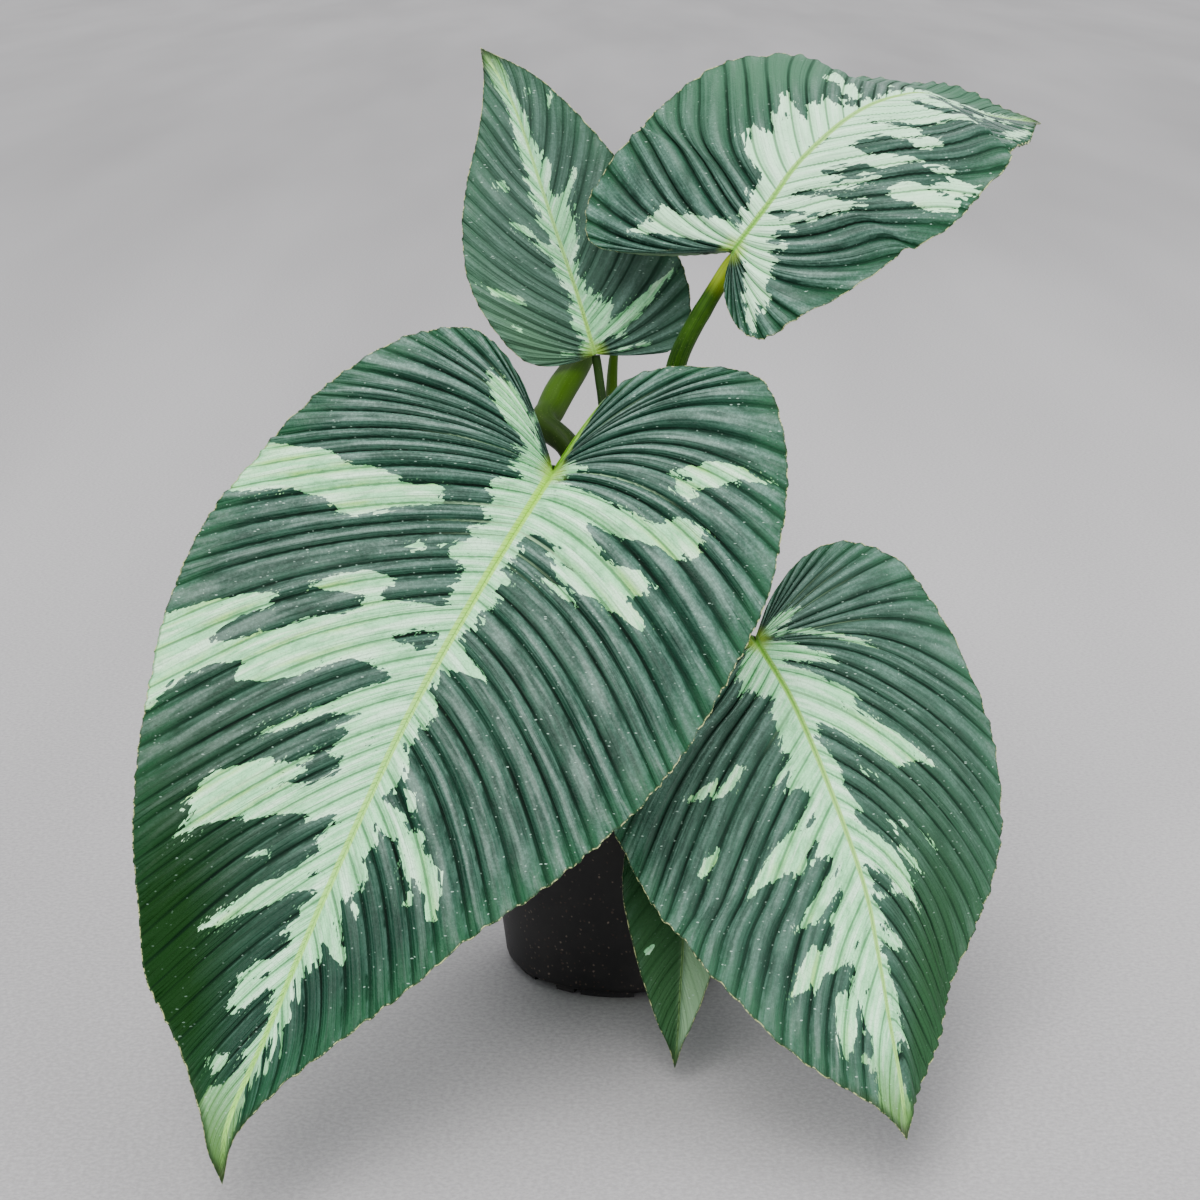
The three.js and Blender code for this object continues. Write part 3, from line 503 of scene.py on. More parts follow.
             (.37, 8.1), (.31, 8.5), (.2, 8.6), (.18, 8.9), (.13, 9.3), (.06, 9.1), (.06, 9.5),
             (.1, 9.8), (.09, 10.5), (.12, 10.8), (.11, 11.4), (.15, 11.7), (.25, 11.8), (.41, 12),
             (.4, 12.4), (.3, 12.6), (.3, 12.8), (.42, 13), (.33, 13.2), (.5, 13.5), (.48, 13.7),
             (.3, 13.7), (.17, 13.9), (.3, 14.1), (.26, 14.6), (.32, 14.8), (.17, 14.85),
             (.1, 15.4),
             (.05, 15.7), (.07, 16), (.05, 16.5), (.1, 17), (.08, 17.6), (.2, 17.9), (.1, 18.4),
             (.25, 18.8), (.12, 19.3), (.08, 20), (.15, 20.6), (.1, 21.4), (.2, 22.4), (.6, 23),
             (1.1, 23.2), (1.1, 25), (0, 25)],
            [(.66, 15.3), (.55, 15.05), (.5, 15.2), (.4, 15.4), (.3, 15.4), (.2, 15.6),
             (.12, 15.75),
             (.2, 15.9), (.38, 15.8), (.42, 15.6), (.5, 15.5), (.6, 15.4)],
            [(.21, 15.2), (.15, 15.25), (.18, 15.4)], [(.38, 17.3), (.3, 17.2), (.25, 17.4)],
        ], [
            [(.38, 12), (.34, 12.1), (.37, 12.15)], [(.38, 13.3), (.28, 13.3), (.33, 13.5)],
        ]),
        ([
            [(0, 7.4), (.08, 7.4), (.15, 7.1), (.2, 7.1), (.28, 6.5), (.35, 6.1), (.44, 5.9),
             (.45, 5.6), (.5, 5.1), (.55, 5), (.58, 5.3), (.62, 5.3), (.67, 4.9), (.8, 4.7),
             (.9, 4.8), (.95, 5.1), (.8, 5.1), (.72, 5.5), (.7, 5.7), (.6, 5.85), (.7, 6.1),
             (.68, 6.5), (.6, 6.9), (.5, 7.2), (.46, 7.6), (.4, 8), (.36, 8.3), (.33, 8.7),
             (.26, 8.7), (.25, 9.2), (.3, 9.3), (.28, 9.6), (.19, 9.05), (.2, 9.9), (.17, 10),
             (.25, 10.3), (.2, 10.5), (.3, 10.9), (.2, 10.85), (.13, 10.5), (.05, 10.5),
             (.05, 10.9), (.3, 11.1), (.38, 11.3), (.45, 11.7), (.48, 12.05), (.4, 11.8),
             (.35, 11.7), (.33, 11.9), (.2, 11.6), (.07, 11.4), (.1, 11.8), (.2, 12), (.25, 12.3),
             (.27, 12.8), (.13, 12.65), (.14, 12.9), (.2, 13.1), (.3, 13.6), (.42, 13.6),
             (.5, 14.1),
             (.56, 14.4), (.5, 14.4), (.4, 14.15), (.28, 13.9), (.2, 13.9), (.14, 14.1),
             (.17, 14.5), (.25, 14.95), (.35, 15), (.41, 15.5), (.4, 15.65), (.34, 15.7),
             (.25, 15.4), (.13, 15.1), (.13, 15.35), (.2, 15.7), (.3, 15.9), (.47, 16.3),
             (.33, 16.25),
             (.5, 16.5), (.65, 16.6), (.6, 17), (.45, 16.65), (.3, 16.75), (.1, 16.95), (.13, 17.3),
             (.2, 17.1), (.35, 17), (.43, 17.2), (.36, 17.8), (.2, 17.6), (.1, 17.9), (.07, 18.6),
             (.2, 19), (.1, 19.6), (.12, 20.4), (.06, 21), (.2, 22.2), (.7, 23), (1.1, 23.2),
             (1.1, 25), (0, 25)],
            [(.28, 12.3), (.33, 12.5), (.37, 12.9), (.43, 13.3), (.37, 13.15), (.31, 12.6)],
            [(.54, 12.8), (.6, 12.6), (.7, 12.7), (.8, 12.5), (.9, 12.7), (.93, 12.9), (.9, 13.3),
             (.93, 13.8), (.95, 14.2), (.75, 14.2), (.82, 13.95), (.71, 13.75), (.8, 13.7),
             (.7, 13.4), (.6, 13.4), (.55, 13.1)],
            [(.62, 14.2), (.68, 14.2), (.76, 14.55), (.7, 14.5), (.64, 14.4)],
            [(.38, 15), (.47, 14.9), (.53, 15.1), (.55, 15.45), (.45, 15.5)],
            [(.44, 12), (.48, 12.05), (.47, 12.25)],
            [(.89, 17.6), (.83, 18), (.78, 18.8), (.82, 20), (.87, 20.9), (.9, 21.1), (.92, 20.6),
             (.92, 20), (.89, 19), (.9, 18.2)],
            [(.4, 18.9), (.5, 18.5), (.45, 19)], [(.38, 19.9), (.48, 19.3), (.43, 20)],
            [(.46, 20.8), (.56, 20.1), (.5, 20.8)],
        ], [
            [(.78, 13.3), (.82, 13.2), (.83, 13.4), (.8, 13.5)],
            [(.65, 14.28), (.68, 14.26), (.66, 14.4)],
        ]),
    ],
    "e": [
        ([], []),
        ([[(.72, 5.55), (.66, 5.54), (.69, 5.58)]], []),
    ],
}


def through(values, u):
    # a smooth curve through evenly spaced numbers, u from 0 to 1
    values = np.asarray(values, float)
    last = len(values) - 1
    t = np.clip(u, 0, 1) * last
    i = np.minimum(t.astype(int), last - 1)
    f = t - i
    v = np.concatenate([[2 * values[0] - values[1]], values, [2 * values[-1] - values[-2]]])
    p, q, r, s = v[i], v[i + 1], v[i + 2], v[i + 3]
    return 0.5 * (2 * q + (r - p) * f + (2 * p - 5 * q + 4 * r - s) * f * f
                  + (3 * q - p - 3 * r + s) * f ** 3)


def smooth(low, high, value):
    t = np.clip((value - low) / (high - low), 0, 1)
    return t * t * (3 - 2 * t)


def unit(v):
    return v / np.linalg.norm(v, axis=-1, keepdims=True)


def pointsOf(mesh):
    flat = np.zeros(len(mesh.vertices) * 3)
    mesh.vertices.foreach_get("co", flat)
    return flat.reshape(-1, 3)


def carry(mesh, name, values):
    # a number for each point, that a material reads with kept()
    held = mesh.attributes.new(name, "FLOAT", "POINT")
    held.data.foreach_set("value", values.astype(np.float32))


class Route:
    # points at even steps of length along a smooth curve
    def __init__(self, points, samples=400):
        u = np.linspace(0, 1, samples + 1)
        self.points = np.stack([through(c, u) for c in np.array(points, float).T], 1)
        steps = np.linalg.norm(np.diff(self.points, axis=0), axis=1)
        self.lengths = np.concatenate([[0], np.cumsum(steps)])
        self.total = self.lengths[-1]

    def at(self, s):
        return np.stack([np.interp(s, self.lengths, c) for c in self.points.T], -1)


def arc(start, k, length):
    # where a line of a length ends that starts at an angle and turns by k radians a millimetre
    if k == 0:
        return length * np.cos(start), length * np.sin(start)
    end = start + k * length
    return (np.sin(end) - np.sin(start)) / k, (np.cos(start) - np.cos(end)) / k


class Blade:
    def __init__(self, shape):
        self.shape = shape
        self.route = Route(shape["midrib"])
        self.length = self.route.total
        self.up = np.array(shape["up"], float)
        tip = self.length
        self.veins = np.array(shape["veins"] + [(tip, 0, tip, 0, tip)], float)

    # midrib point, direction, normal and left side at y; behind the sinus the line curls on
    def lay(self, y):
        y0 = np.clip(y, 0, self.length)
        at = self.route.at(y0)
        t = unit(self.route.at(y0 + 1.5) - self.route.at(y0 - 1.5))
        n = unit(self.up - (t @ self.up)[..., None] * t)
        s = np.cross(n, t)
        behind = np.maximum(-y, 0)
        k = math.radians(self.shape["lobeCurl"]) / 100
        back, lift = arc(0.0, k, behind)
        turn = (k * behind)[..., None]
        at = at - t * back[..., None] + n * lift[..., None]
        return at, t * np.cos(turn) - n * np.sin(turn), n * np.cos(turn) + t * np.sin(turn), s

    def sheet(self, half, x, y):
        at, t, n, s = self.lay(y)
        start = np.radians(through(self.shape["fold"][half], y / self.length))
        out, rise = arc(start, math.radians(self.shape["bend"][half]) / 100, x)
        return at + s * (-out if half else out)[..., None] + n * rise[..., None]

    def normal(self, half, x, y):
        h = 0.5
        dy = self.sheet(half, x, y + h) - self.sheet(half, x, y - h)
        dx = self.sheet(half, x + h, y) - self.sheet(half, x - h, y)
        n = unit(np.cross(dy, dx)) * (-1 if half else 1)
        blend = smooth(0, 2.5, x)[..., None]
        return unit(self.lay(y)[2] * (1 - blend) + n * blend)

    # flat plan place on vein a (0 sinus, 1 tip) at r (0 midrib, 1 margin)
    def plan(self, half, a, r):
        v = self.veins
        y0 = np.maximum(0, through(v[:, 0], a))
        px = np.maximum(0, through(v[:, 1 + 2 * half], a))
        py = through(v[:, 2 + 2 * half], a)
        bow = math.radians(self.shape["bow"][half]) * smooth(0.02, 0.3, a)
        k = np.tan(bow) * r * (1 - r)
        return r * px + k * (py - y0), y0 + r * (py - y0) - k * px


def signedDistance(points, outlines):
    # millimetres to the nearest of some closed outlines, less than zero inside them
    best = np.full(len(points), 50.0)
    for outline in outlines:
        low, high = outline.min(0) - 12, outline.max(0) + 12
        near = ((points > low) & (points < high)).all(1)
        p = points[near]
        gap = np.full(len(p), 50.0)
        inside = np.zeros(len(p), bool)
        for a, b in zip(outline, np.roll(outline, -1, 0)):
            edge = b - a
            share = np.clip(((p - a) @ edge) / max(edge @ edge, 1e-9), 0, 1)
            gap = np.minimum(gap, np.linalg.norm(p - a - share[:, None] * edge, axis=1))
            crosses = (a[1] > p[:, 1]) != (b[1] > p[:, 1])
            rise = edge[1] if abs(edge[1]) > 1e-9 else 1e-9
            inside ^= crosses & (p[:, 0] < a[0] + (p[:, 1] - a[1]) / rise * edge[0])
        best[near] = np.minimum(best[near], np.where(inside, -gap, gap))
    return best


def patchOutlines(blade, key, half):
    # the pale patches of half a leaf, then the dark islands in them, as places on its flat plan
    kinds = []
    for outlines in patches[key][half]:
        kinds.append([])
        for outline in outlines:
            share, vein = np.array(outline, float).T
            x, y = blade.plan(half, vein / blade.shape["pleats"], share)
            kinds[-1].append(np.stack([np.where(x < 0.3, x - 0.3, x), y], 1))
    return kinds


bladeThickness = 0.7
pleatShape = {
    "sharp": 2.7,                                  # how narrow the grooves are beside the ridges
    "crease": 0.3, "creaseWidth": 0.11, "creased": 0.6,  # a fold on the crown of some ridges
    "strength": (0.55, 1.4), "shift": 0.22, "chew": (0.2, 1.6),  # how much the ridges differ
    "bite": 0.6, "ribDip": 0.18, "ribBelly": 1.9,
}
bladeFinishes = {}


def makeBlade(key):
    shape, look = leafShapes[key], leafLooks[key]
    blade = Blade(shape)
    rng = random.Random(look["seed"])
    # ridges counted from the sinus, for each half, and columns spaced by the mean of the two
    steps = np.linspace(0, 1, 801)
    counts = [np.concatenate([[0], np.cumsum(through(fineness, (steps[1:] + steps[:-1]) / 2))])
              * shape["pleats"] / 800 for fineness in look["fineness"]]
    mean = (counts[0] + counts[1]) / 2
    rows, columns = look["rows"], int(mean[-1] * look["perRidge"])

    # A flat slab of one unit, rows across and columns along, that is then laid on the leaf's sheet
    bpy.ops.mesh.primitive_grid_add(x_subdivisions=2 * rows, y_subdivisions=columns, size=2)
    leaf = bpy.context.object
    leaf.name = "leaf_" + key
    for finish in bladeFinishes[key]:
        leaf.data.materials.append(finish)
    slab = leaf.modifiers.new("slab", "SOLIDIFY")
    slab.thickness, slab.offset = 1.0, 0.0
    slab.material_offset, slab.material_offset_rim = 1, 2
    bpy.ops.object.modifier_apply(modifier="slab")

    mesh = leaf.data
    flat = pointsOf(mesh)
    across = np.abs(flat[:, 0])
    r = 0.16 * across + 0.84 * (0.5 - 0.5 * np.cos(math.pi * across))
    a = np.interp((flat[:, 1] + 1) / 2 * mean[-1], mean, steps)
    above = flat[:, 2] > 0

    draws = range(int(max(counts[0][-1], counts[1][-1])) + 4)
    strengths = np.array([rng.uniform(*pleatShape["strength"]) for _ in draws])
    creased = np.array([rng.random() > 1 - pleatShape["creased"] for _ in draws])
    shifts = np.array([rng.uniform(-pleatShape["shift"], pleatShape["shift"]) for _ in draws])
    chewed = np.array([rng.uniform(*pleatShape["chew"]) for _ in draws])
    place = np.zeros((len(flat), 3))
    facts = {name: np.zeros(len(flat)) for name in
             ("vein", "along", "pale", "cross", "margin", "mid", "hub", "zone", "run")}
    for half in (0, 1):
        own = (flat[:, 0] > 0) if half == 0 else (flat[:, 0] <= 0)
        ha, hr = a[own], r[own]
        foot = np.stack(blade.plan(half, ha, np.zeros_like(hr)), 1)
        length = np.linalg.norm(np.stack(blade.plan(half, ha, np.ones_like(hr)), 1) - foot, axis=1)

        # the ridge that a point is on, counted from the sinus, with a little sway in its width
        lean = through(look["lean"][half], ha) * through(look["fineness"][half], ha)
        lean = lean * (1 - (1 - hr) ** 1.6) * (1 - smooth(0.9, 1, ha))
        vein = np.maximum(np.interp(ha, steps, counts[half]) - lean, 0)
        vein = vein + np.interp(vein, np.arange(len(shifts)), shifts)
        number = np.clip(np.floor(vein).astype(int), 0, len(strengths) - 1)
        part = vein - np.floor(vein)
        gap = np.minimum(part, 1 - part)
        crown = 1 - (1 - 2 * gap) ** pleatShape["sharp"]
        crease = np.exp(-((part - 0.5) / pleatShape["creaseWidth"]) ** 2) * creased[number]
        inner = smooth(0, 0.1, hr) * (1 - 0.6 * smooth(0.78, 1, hr))
        ends = smooth(0, 0.05, ha) * (1 - 0.9 * smooth(0.8, 0.99, ha))
        height = crown * 2 * strengths[number] - 1 - pleatShape["crease"] * crease
        height = through(look["depth"][half], ha) * height * inner * ends
        amp, waves, phase = shape["wave"]
        sway = np.sin(2 * math.pi * (waves * ha + phase + 0.37 * half))
        edge = smooth(0, 0.12, ha) * (1 - smooth(0.85, 1, ha))
        height += amp * sway * smooth(0.45, 1, hr) * edge
        crimp = np.sin(2 * math.pi * (vein + 0.15 * np.sin(vein * 1.7)))
        height += look["crimp"] * crimp * smooth(0.88, 1, hr) * edge
        chew = np.interp(vein, np.arange(len(chewed)), chewed)
        bite = 1 - 0.5 * np.cos(2 * math.pi * vein + 1) - 0.5 * np.cos(math.pi * 4.6 * vein + chew)
        bite *= look["bite"] * chew * pleatShape["bite"] * smooth(0.88, 1, hr)
        bite *= edge * (1 - 0.8 * smooth(0.5, 0.9, ha))
        x, y = blade.plan(half, ha, hr * (1 - bite / np.maximum(length, 8)))
        x = np.maximum(x, 0)

        # a shallow channel along the midrib, and a round rib under it
        ribWidth = look["rib"] * (1 - 0.72 * ha) + 0.2
        dip = np.exp(-(x / ribWidth) ** 2) * (1 - smooth(0.9, 1, ha))
        height -= pleatShape["ribDip"] * look["rib"] * dip
        belly = np.sqrt(np.clip(1 - (x / (ribWidth * 1.15)) ** 2, 0, 1))
        belly *= pleatShape["ribBelly"] * (1 - 0.85 * ha)
        belly *= 1 - smooth(0.97, 1, ha)
        thick = bladeThickness * (1 - 0.35 * smooth(0.9, 1, hr))
        lift = height + np.where(above[own], thick / 2, -thick / 2 - belly)
        flatX = np.where((hr < 1e-6) | (ha > 0.9999), 0, x)
        place[own] = blade.sheet(half, flatX, y) + blade.normal(half, flatX, y) * lift[:, None]

        # where the pale patches are, and how squarely a vein meets their edges
        points = np.stack([x, y], 1)
        pale, dark = patchOutlines(blade, key, half)
        field = np.maximum(signedDistance(points, pale), -signedDistance(points, dark))
        ahead = points + unit(points - foot + 1e-6) * 0.8
        moved = np.maximum(signedDistance(ahead, pale), -signedDistance(ahead, dark))
        zone = np.zeros(len(points))
        for zoneHalf, out, outWide, middle, wide in look["zones"]:
            spot = ((hr - out) / outWide) ** 2 + ((ha * shape["pleats"] - middle) / wide) ** 2
            zone = np.maximum(zone, np.exp(-1.5 * spot) * (zoneHalf == half))
        halfFacts = {
            "vein": vein, "along": hr * length * (-1 if half else 1), "pale": field,
            "cross": np.clip(np.abs(moved - field) / 0.8, 0, 1), "margin": (1 - hr) * length,
            "mid": x / ribWidth, "hub": np.hypot(x, y), "zone": zone, "run": y / blade.length,
        }
        for fact, values in halfFacts.items():
            facts[fact][own] = values

    mesh.vertices.foreach_set("co", (place * mm).ravel())
    for name, values in facts.items():
        carry(mesh, name, values)
    mesh.update()
    bpy.ops.object.mode_set(mode="EDIT")
    bpy.ops.mesh.select_all(action="SELECT")
    bpy.ops.mesh.remove_doubles(threshold=2e-6)
    bpy.ops.mesh.normals_make_consistent(inside=False)
    bpy.ops.object.mode_set(mode="OBJECT")
    bpy.ops.object.shade_smooth()
    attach(leaf, "root")
    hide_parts("blade_" + key)
    print(leaf.name, len(mesh.polygons), "faces")
    bpy.ops.object.select_all(action="DESELECT")
    return blade


# Leaf colours, as seen on a screen
# The sheen, groove and mint crest colours, and those for a leaf's lit half and the midrib's
# highlight, are painted highlight and painted shade.
leafColours = {
    "deep": rgb(10, 42, 30), "soft": rgb(29, 69, 51), "sheen": rgb(88, 124, 110),
    "groove": rgb(2, 18, 10), "rim": rgb(24, 78, 46), "haze": rgb(92, 122, 106),
    "mint": rgb(156, 229, 170), "mintWarm": rgb(158, 212, 116), "mintVein": rgb(56, 112, 66),
    "mintShade": rgb(92, 160, 106), "mintCrest": rgb(208, 250, 214),
    "hub": rgb(158, 198, 60), "tip": rgb(80, 118, 56), "point": rgb(44, 58, 24),
    "speck": rgb(176, 208, 190), "edge": rgb(176, 182, 128), "edgeDark": rgb(30, 56, 28),
    "spot": rgb(14, 26, 18), "ray": rgb(180, 224, 176), "litHalf": rgb(136, 174, 132),
    "ribHighlight": rgb(190, 230, 136), "rimDark": rgb(46, 72, 34),
    "back": rgb(74, 108, 76), "backSoft": rgb(90, 122, 88), "backRib": rgb(126, 154, 90),
}


ridgeWidth = 5.0  # millimetres, for patterns that follow the ridges
patchEdge = {"grow": 0.35, "teeth": 3.6, "smallTeeth": 0.8, "wander": 1.2}
leafSurface = {
    "specular": 0.12, "roughness": 0.36, "coatRoughness": 0.28, "bump": (0.8, 0.0006),
    "backRoughness": 0.58, "backBump": (0.3, 0.0004), "rimRoughness": 0.5,
    "rimReach": (1, 20), "rayReach": (14, 54), "rayShare": (0.52, 0.54), "tipFrom": (0.48, 0.72),
    # spots: the grid in millimetres, the share of its cells, and inner and outer size in cells
    "smallSpecks": (1.5, 0.1, 0.12, 0.3), "largeSpecks": (3.4, 0.13, 0.1, 0.2, "Y"),
    "darkSpots": (6.0, 0.14, 0.05, 0.12, "Z"),
}


def leafPlace(start, seed):
    # places along and across the veins, in millimetres
    vein, along = kept(start, "vein"), kept(start, "along")
    lay = start.add("ShaderNodeCombineXYZ", None, {0: along, 1: vein * ridgeWidth, 2: seed})
    return vein, along, lay


def grooveGap(vein):
    part = vein.calc("FRACT", vein)
    return part.least(1 - part)


def specks(lay, size, share, low, high, channel="X"):
    # small spots in some of the cells, "size" millimetres apart
    near = lay.spread(1 / size, 1 / size, 1).cells(1.0)
    chosen = near.also(1).part(channel).step(1 - share, 1.02 - share)
    return (1 - near.step(low, high)) * chosen


def patchField(start, lay):
    # how far outside the pale patches a place is, with teeth where veins run across their edges
    pale, cross = kept(start, "pale"), kept(start, "cross")
    teeth = lay.spread(0.24, 1.1, 1).cells(1.0, out=1).part("X") - 0.5
    small = lay.spread(0.6, 2.4, 1).cells(1.0, out=1).part("X") - 0.5
    wander = lay.noise(0.35, 2.0, 0.6) - 0.5
    field = pale - patchEdge["grow"] + (cross * patchEdge["teeth"] + 0.4) * teeth
    field = field + (cross * patchEdge["smallTeeth"] + 0.25) * small
    return field + wander * patchEdge["wander"]


def bladeTop(key):
    look, c, surface = leafLooks[key], leafColours, leafSurface
    finish, shader, start = newFinish("leafTop_" + key, Specular_IOR_Level=surface["specular"],
                                      Coat_Roughness=surface["coatRoughness"])
    vein, along, lay = leafPlace(start, float(look["seed"]))
    here = placeOf(start).spread(1000, 1000, 1000)
    margin, mid, hub = kept(start, "margin"), kept(start, "mid"), kept(start, "hub")
    zone, run = kept(start, "zone"), kept(start, "run")
    part, gap = vein.calc("FRACT", vein), grooveGap(vein)
    mottle = lay.spread(0.2, 0.6, 1).noise(0.8, 3.0, 0.65)
    streak = lay.spread(0.05, 0.6, 1).noise(1.0, 2.0, 0.5)
    grain = here.noise(0.8, 2.0, 0.75)
    crossVeins = here.cells(0.5, "DISTANCE_TO_EDGE").step(0.0, 0.08)

    field = patchField(start, lay)
    palePart = 1 - field.step(-0.1, 0.1)
    # here and there the edges of the patches break up into dots
    fringe = (1 - abs(field).step(0.4, 3.0)) * lay.noise(0.12, 2.0).step(0.52, 0.64)
    dots = (1 - lay.spread(0.7, 1.5, 1).cells(1.0).step(0.2, 0.27)) * fringe
    palePart = abs(palePart - dots)

    # finer veins run along each ridge
    finer = grooveGap(vein * look["finer"] + (streak - 0.5) * 0.6 + 0.5)
    fineLine = 1 - finer.step(0.02, 0.2)

    # the lamina: dark blue green, a grey painted sheen on each ridge's lit side, painted shade in
    # the grooves, a greener rim
    ending = run.step(*surface["tipFrom"]) * look["tipDark"]
    mixed = (mottle * 0.5 + streak * 0.5).step(0.32, 0.68)
    green = (mixed * (1 - ending * 0.5)).blend(c["deep"], c["soft"])
    rimPart = (1 - margin.step(*surface["rimReach"])) * (0.35 + mottle * 0.7)
    green = rimPart.blend(green, c["rim"])
    # painted shade along the finer veins, which the bump also presses in
    green = (fineLine * 0.3 * look["crisp"]).blend(green, c["groove"])
    # painted highlight: the upper side of each ridge, which faces the light, is lightened towards a
    # grey green, more near the lobes and less towards a dark tip, with a thin painted highlight
    # just past each groove
    lit = part.step(0.06, 0.34) * (1 - part.step(0.5, 0.94))
    litSheen = lit * (0.3 + streak.step(0.36, 0.64) * 0.7) * (0.55 + grain.step(0.4, 0.65) * 0.45)
    litSheen = litSheen * (1.4 - run.step(0.0, 0.35) * 0.6) * (1 - ending)
    shoulder = part.step(0.05, 0.1) * (1 - part.step(0.12, 0.22)) * mottle.step(0.4, 0.6)
    green = (litSheen * 0.76 + shoulder * 0.3).blend(green, c["sheen"])
    green = (zone * (0.9 + mottle * 0.5)).blend(green, look["zoneGreen"])
    green = ((streak * 0.4 + 0.8) * look["haze"]).blend(green, c["haze"])
    # painted shade: the grooves between the ridges are darkened nearly to black, unevenly along
    # them and less near the margin; they are rougher as well
    uneven = lay.spread(0.025, 0.2, 1).noise(1.0, 2.0, 0.5).step(0.35, 0.6) * 0.55 + 0.45
    groove = (1 - gap.step(0.02, 0.13)) * (0.6 + margin.step(4, 30) * 0.4) * uneven
    green = (groove * look["crisp"]).blend(green, c["groove"])
    # painted light: on a folded leaf, half 0 is lightened where it faces the light
    if look["litHalf"] > 0:
        green = (along.step(-3, 5) * look["litHalf"]).blend(green, c["litHalf"])

    # the pale parts: mint, warmer towards the margin, with a painted highlight on the crown of each
    # ridge and fine green vein lines, darkened further as painted shade where they lie in the
    # grooves
    warm = streak.step(0.4, 0.7) * abs(along).step(12, 55)
    mint = warm.blend(c["mint"], c["mintWarm"])
    mint = (mottle.step(0.42, 0.7) * 0.6).blend(mint, c["mintShade"])
    mint = (gap.step(0.12, 0.4) * streak.step(0.42, 0.6) * 0.8).blend(mint, c["mintCrest"])
    mint = ((1 - crossVeins) * 0.3 + fineLine * 0.22).blend(mint, c["mintShade"])
    mint = ((streak * 0.4 + 0.8) * look["pale"]).blend(mint, c["mintCrest"])
    mint = ((1 - gap.step(0.015, 0.1)) * 0.75).blend(mint, c["mintVein"])
    mint = (run.step(0.8, 0.95) * 0.8).blend(mint, c["tip"])
    colour = palePart.blend(green, mint)

    # specks, and the pale vein lines that spread from the sinus
    small = specks(here, *surface["smallSpecks"])
    large = specks(here, *surface["largeSpecks"])
    speck = (small * (0.1 + streak * 0.7) + large).least(1.0) * (1 - zone * 0.8)
    colour = (speck * 0.65).blend(colour, c["speck"])
    colour = (specks(here, *surface["darkSpots"]) * 0.85).blend(colour, c["spot"])
    chosen = start.add("ShaderNodeTexWhiteNoise", {"noise_dimensions": "1D"},
                       {"W": vein.calc("ROUND", vein) + look["seed"]}).step(*surface["rayShare"])
    rays = (1 - gap.step(0.03, 0.09)) * (1 - hub.step(*surface["rayReach"]))
    rays = rays * (1 - vein.step(18, 24)) * chosen
    colour = (rays * look["rays"]).blend(colour, c["ray"])
    colour = ((1 - hub.step(1.5, 7.5)) * 0.85).blend(colour, c["hub"])

    # midrib, tip and margin
    ribPart = (1 - mid.step(0.66, 0.92)) * (1 - run.step(0.93, 1.0))
    ribColour = run.step(0.0, 0.4).blend(*look["ribColours"])
    # painted highlight along both sides of the raised midrib
    ribColour = (mid.step(0.1, 0.66) * 0.3).blend(ribColour, c["ribHighlight"])
    colour = ribPart.blend(colour, ribColour)
    dark = run.step(0.85, 0.96) * (1 - margin.step(0.8, 4.5))
    colour = (run.step(0.92, 0.98) * 0.8).blend(colour, c["tip"])
    colour = (dark * 0.8).blend(colour, c["edgeDark"])
    colour = (run.step(0.965, 0.995) * 0.85).blend(colour, c["point"])
    beads = here.noise(0.55, 2.0, 0.6).step(0.47, 0.56)
    lip = (1 - margin.step(0.15, 0.55)) * beads
    colour = ((1 - margin.step(0.4, 1.1)) * 0.6).blend(colour, c["edgeDark"])
    colour = lip.blend(colour, c["edge"])

    # surface: satin, glossy on the lit side of each ridge, with fibres, pores and fine lines
    fibres = lay.spread(0.04, 2.6, 1).noise(1.0, 1.0, 0.5)
    lines = grooveGap(vein * look["finer"]).step(0.0, 0.3)
    relief = fibres * 0.9 + here.noise(1.2, 1.0, 0.6) * 0.6 + lines * 0.5
    gloss = lit * (0.1 + streak.step(0.4, 0.62) * 0.35 + grain.step(0.5, 0.7) * 0.15)
    gloss = gloss * (1 - zone * 0.9) * (1 - ending)
    feed(shader, start, Base_Color=colour, Coat_Weight=gloss,
         Roughness=surface["roughness"] + mottle * 0.16 + groove * 0.4 + zone * 0.3,
         Normal=bumped(start, relief, *surface["bump"]))
    return finish


def bladeBack(key):
    c = leafColours
    back, shader, start = newFinish("leafBack_" + key, Roughness=leafSurface["backRoughness"])
    vein, along, lay = leafPlace(start, 3.0)
    mottle = lay.spread(0.2, 1, 1).noise(0.5, 4.0, 0.6)
    gap = grooveGap(vein)
    colour = mottle.step(0.3, 0.7).blend(c["back"], c["backSoft"])
    colour = ((1 - patchField(start, lay).step(-0.5, 0.5)) * 0.6).blend(colour, c["mintShade"])
    colour = ((1 - gap.step(0.0, 0.1)) * 0.5).blend(colour, c["backRib"])
    colour = (1 - kept(start, "mid").step(0.9, 1.3)).blend(colour, c["backRib"])
    feed(shader, start, Base_Color=colour,
         Normal=bumped(start, mottle + gap, *leafSurface["backBump"]))
    return back


def bladeRim(key):
    rim, shader, start = newFinish("leafRim_" + key, Roughness=leafSurface["rimRoughness"])
    lay = leafPlace(start, float(leafLooks[key]["seed"]))[2]
    beads = lay.noise(0.55, 2.0, 0.5).step(0.45, 0.6)
    feed(shader, start, Base_Color=beads.blend(leafColours["rimDark"], leafColours["edge"]))
    return rim


print("leaves")
blades = {}
for key in leafShapes:
    bladeFinishes[key] = [bladeTop(key), bladeBack(key), bladeRim(key)]
    blades[key] = makeBlade(key)


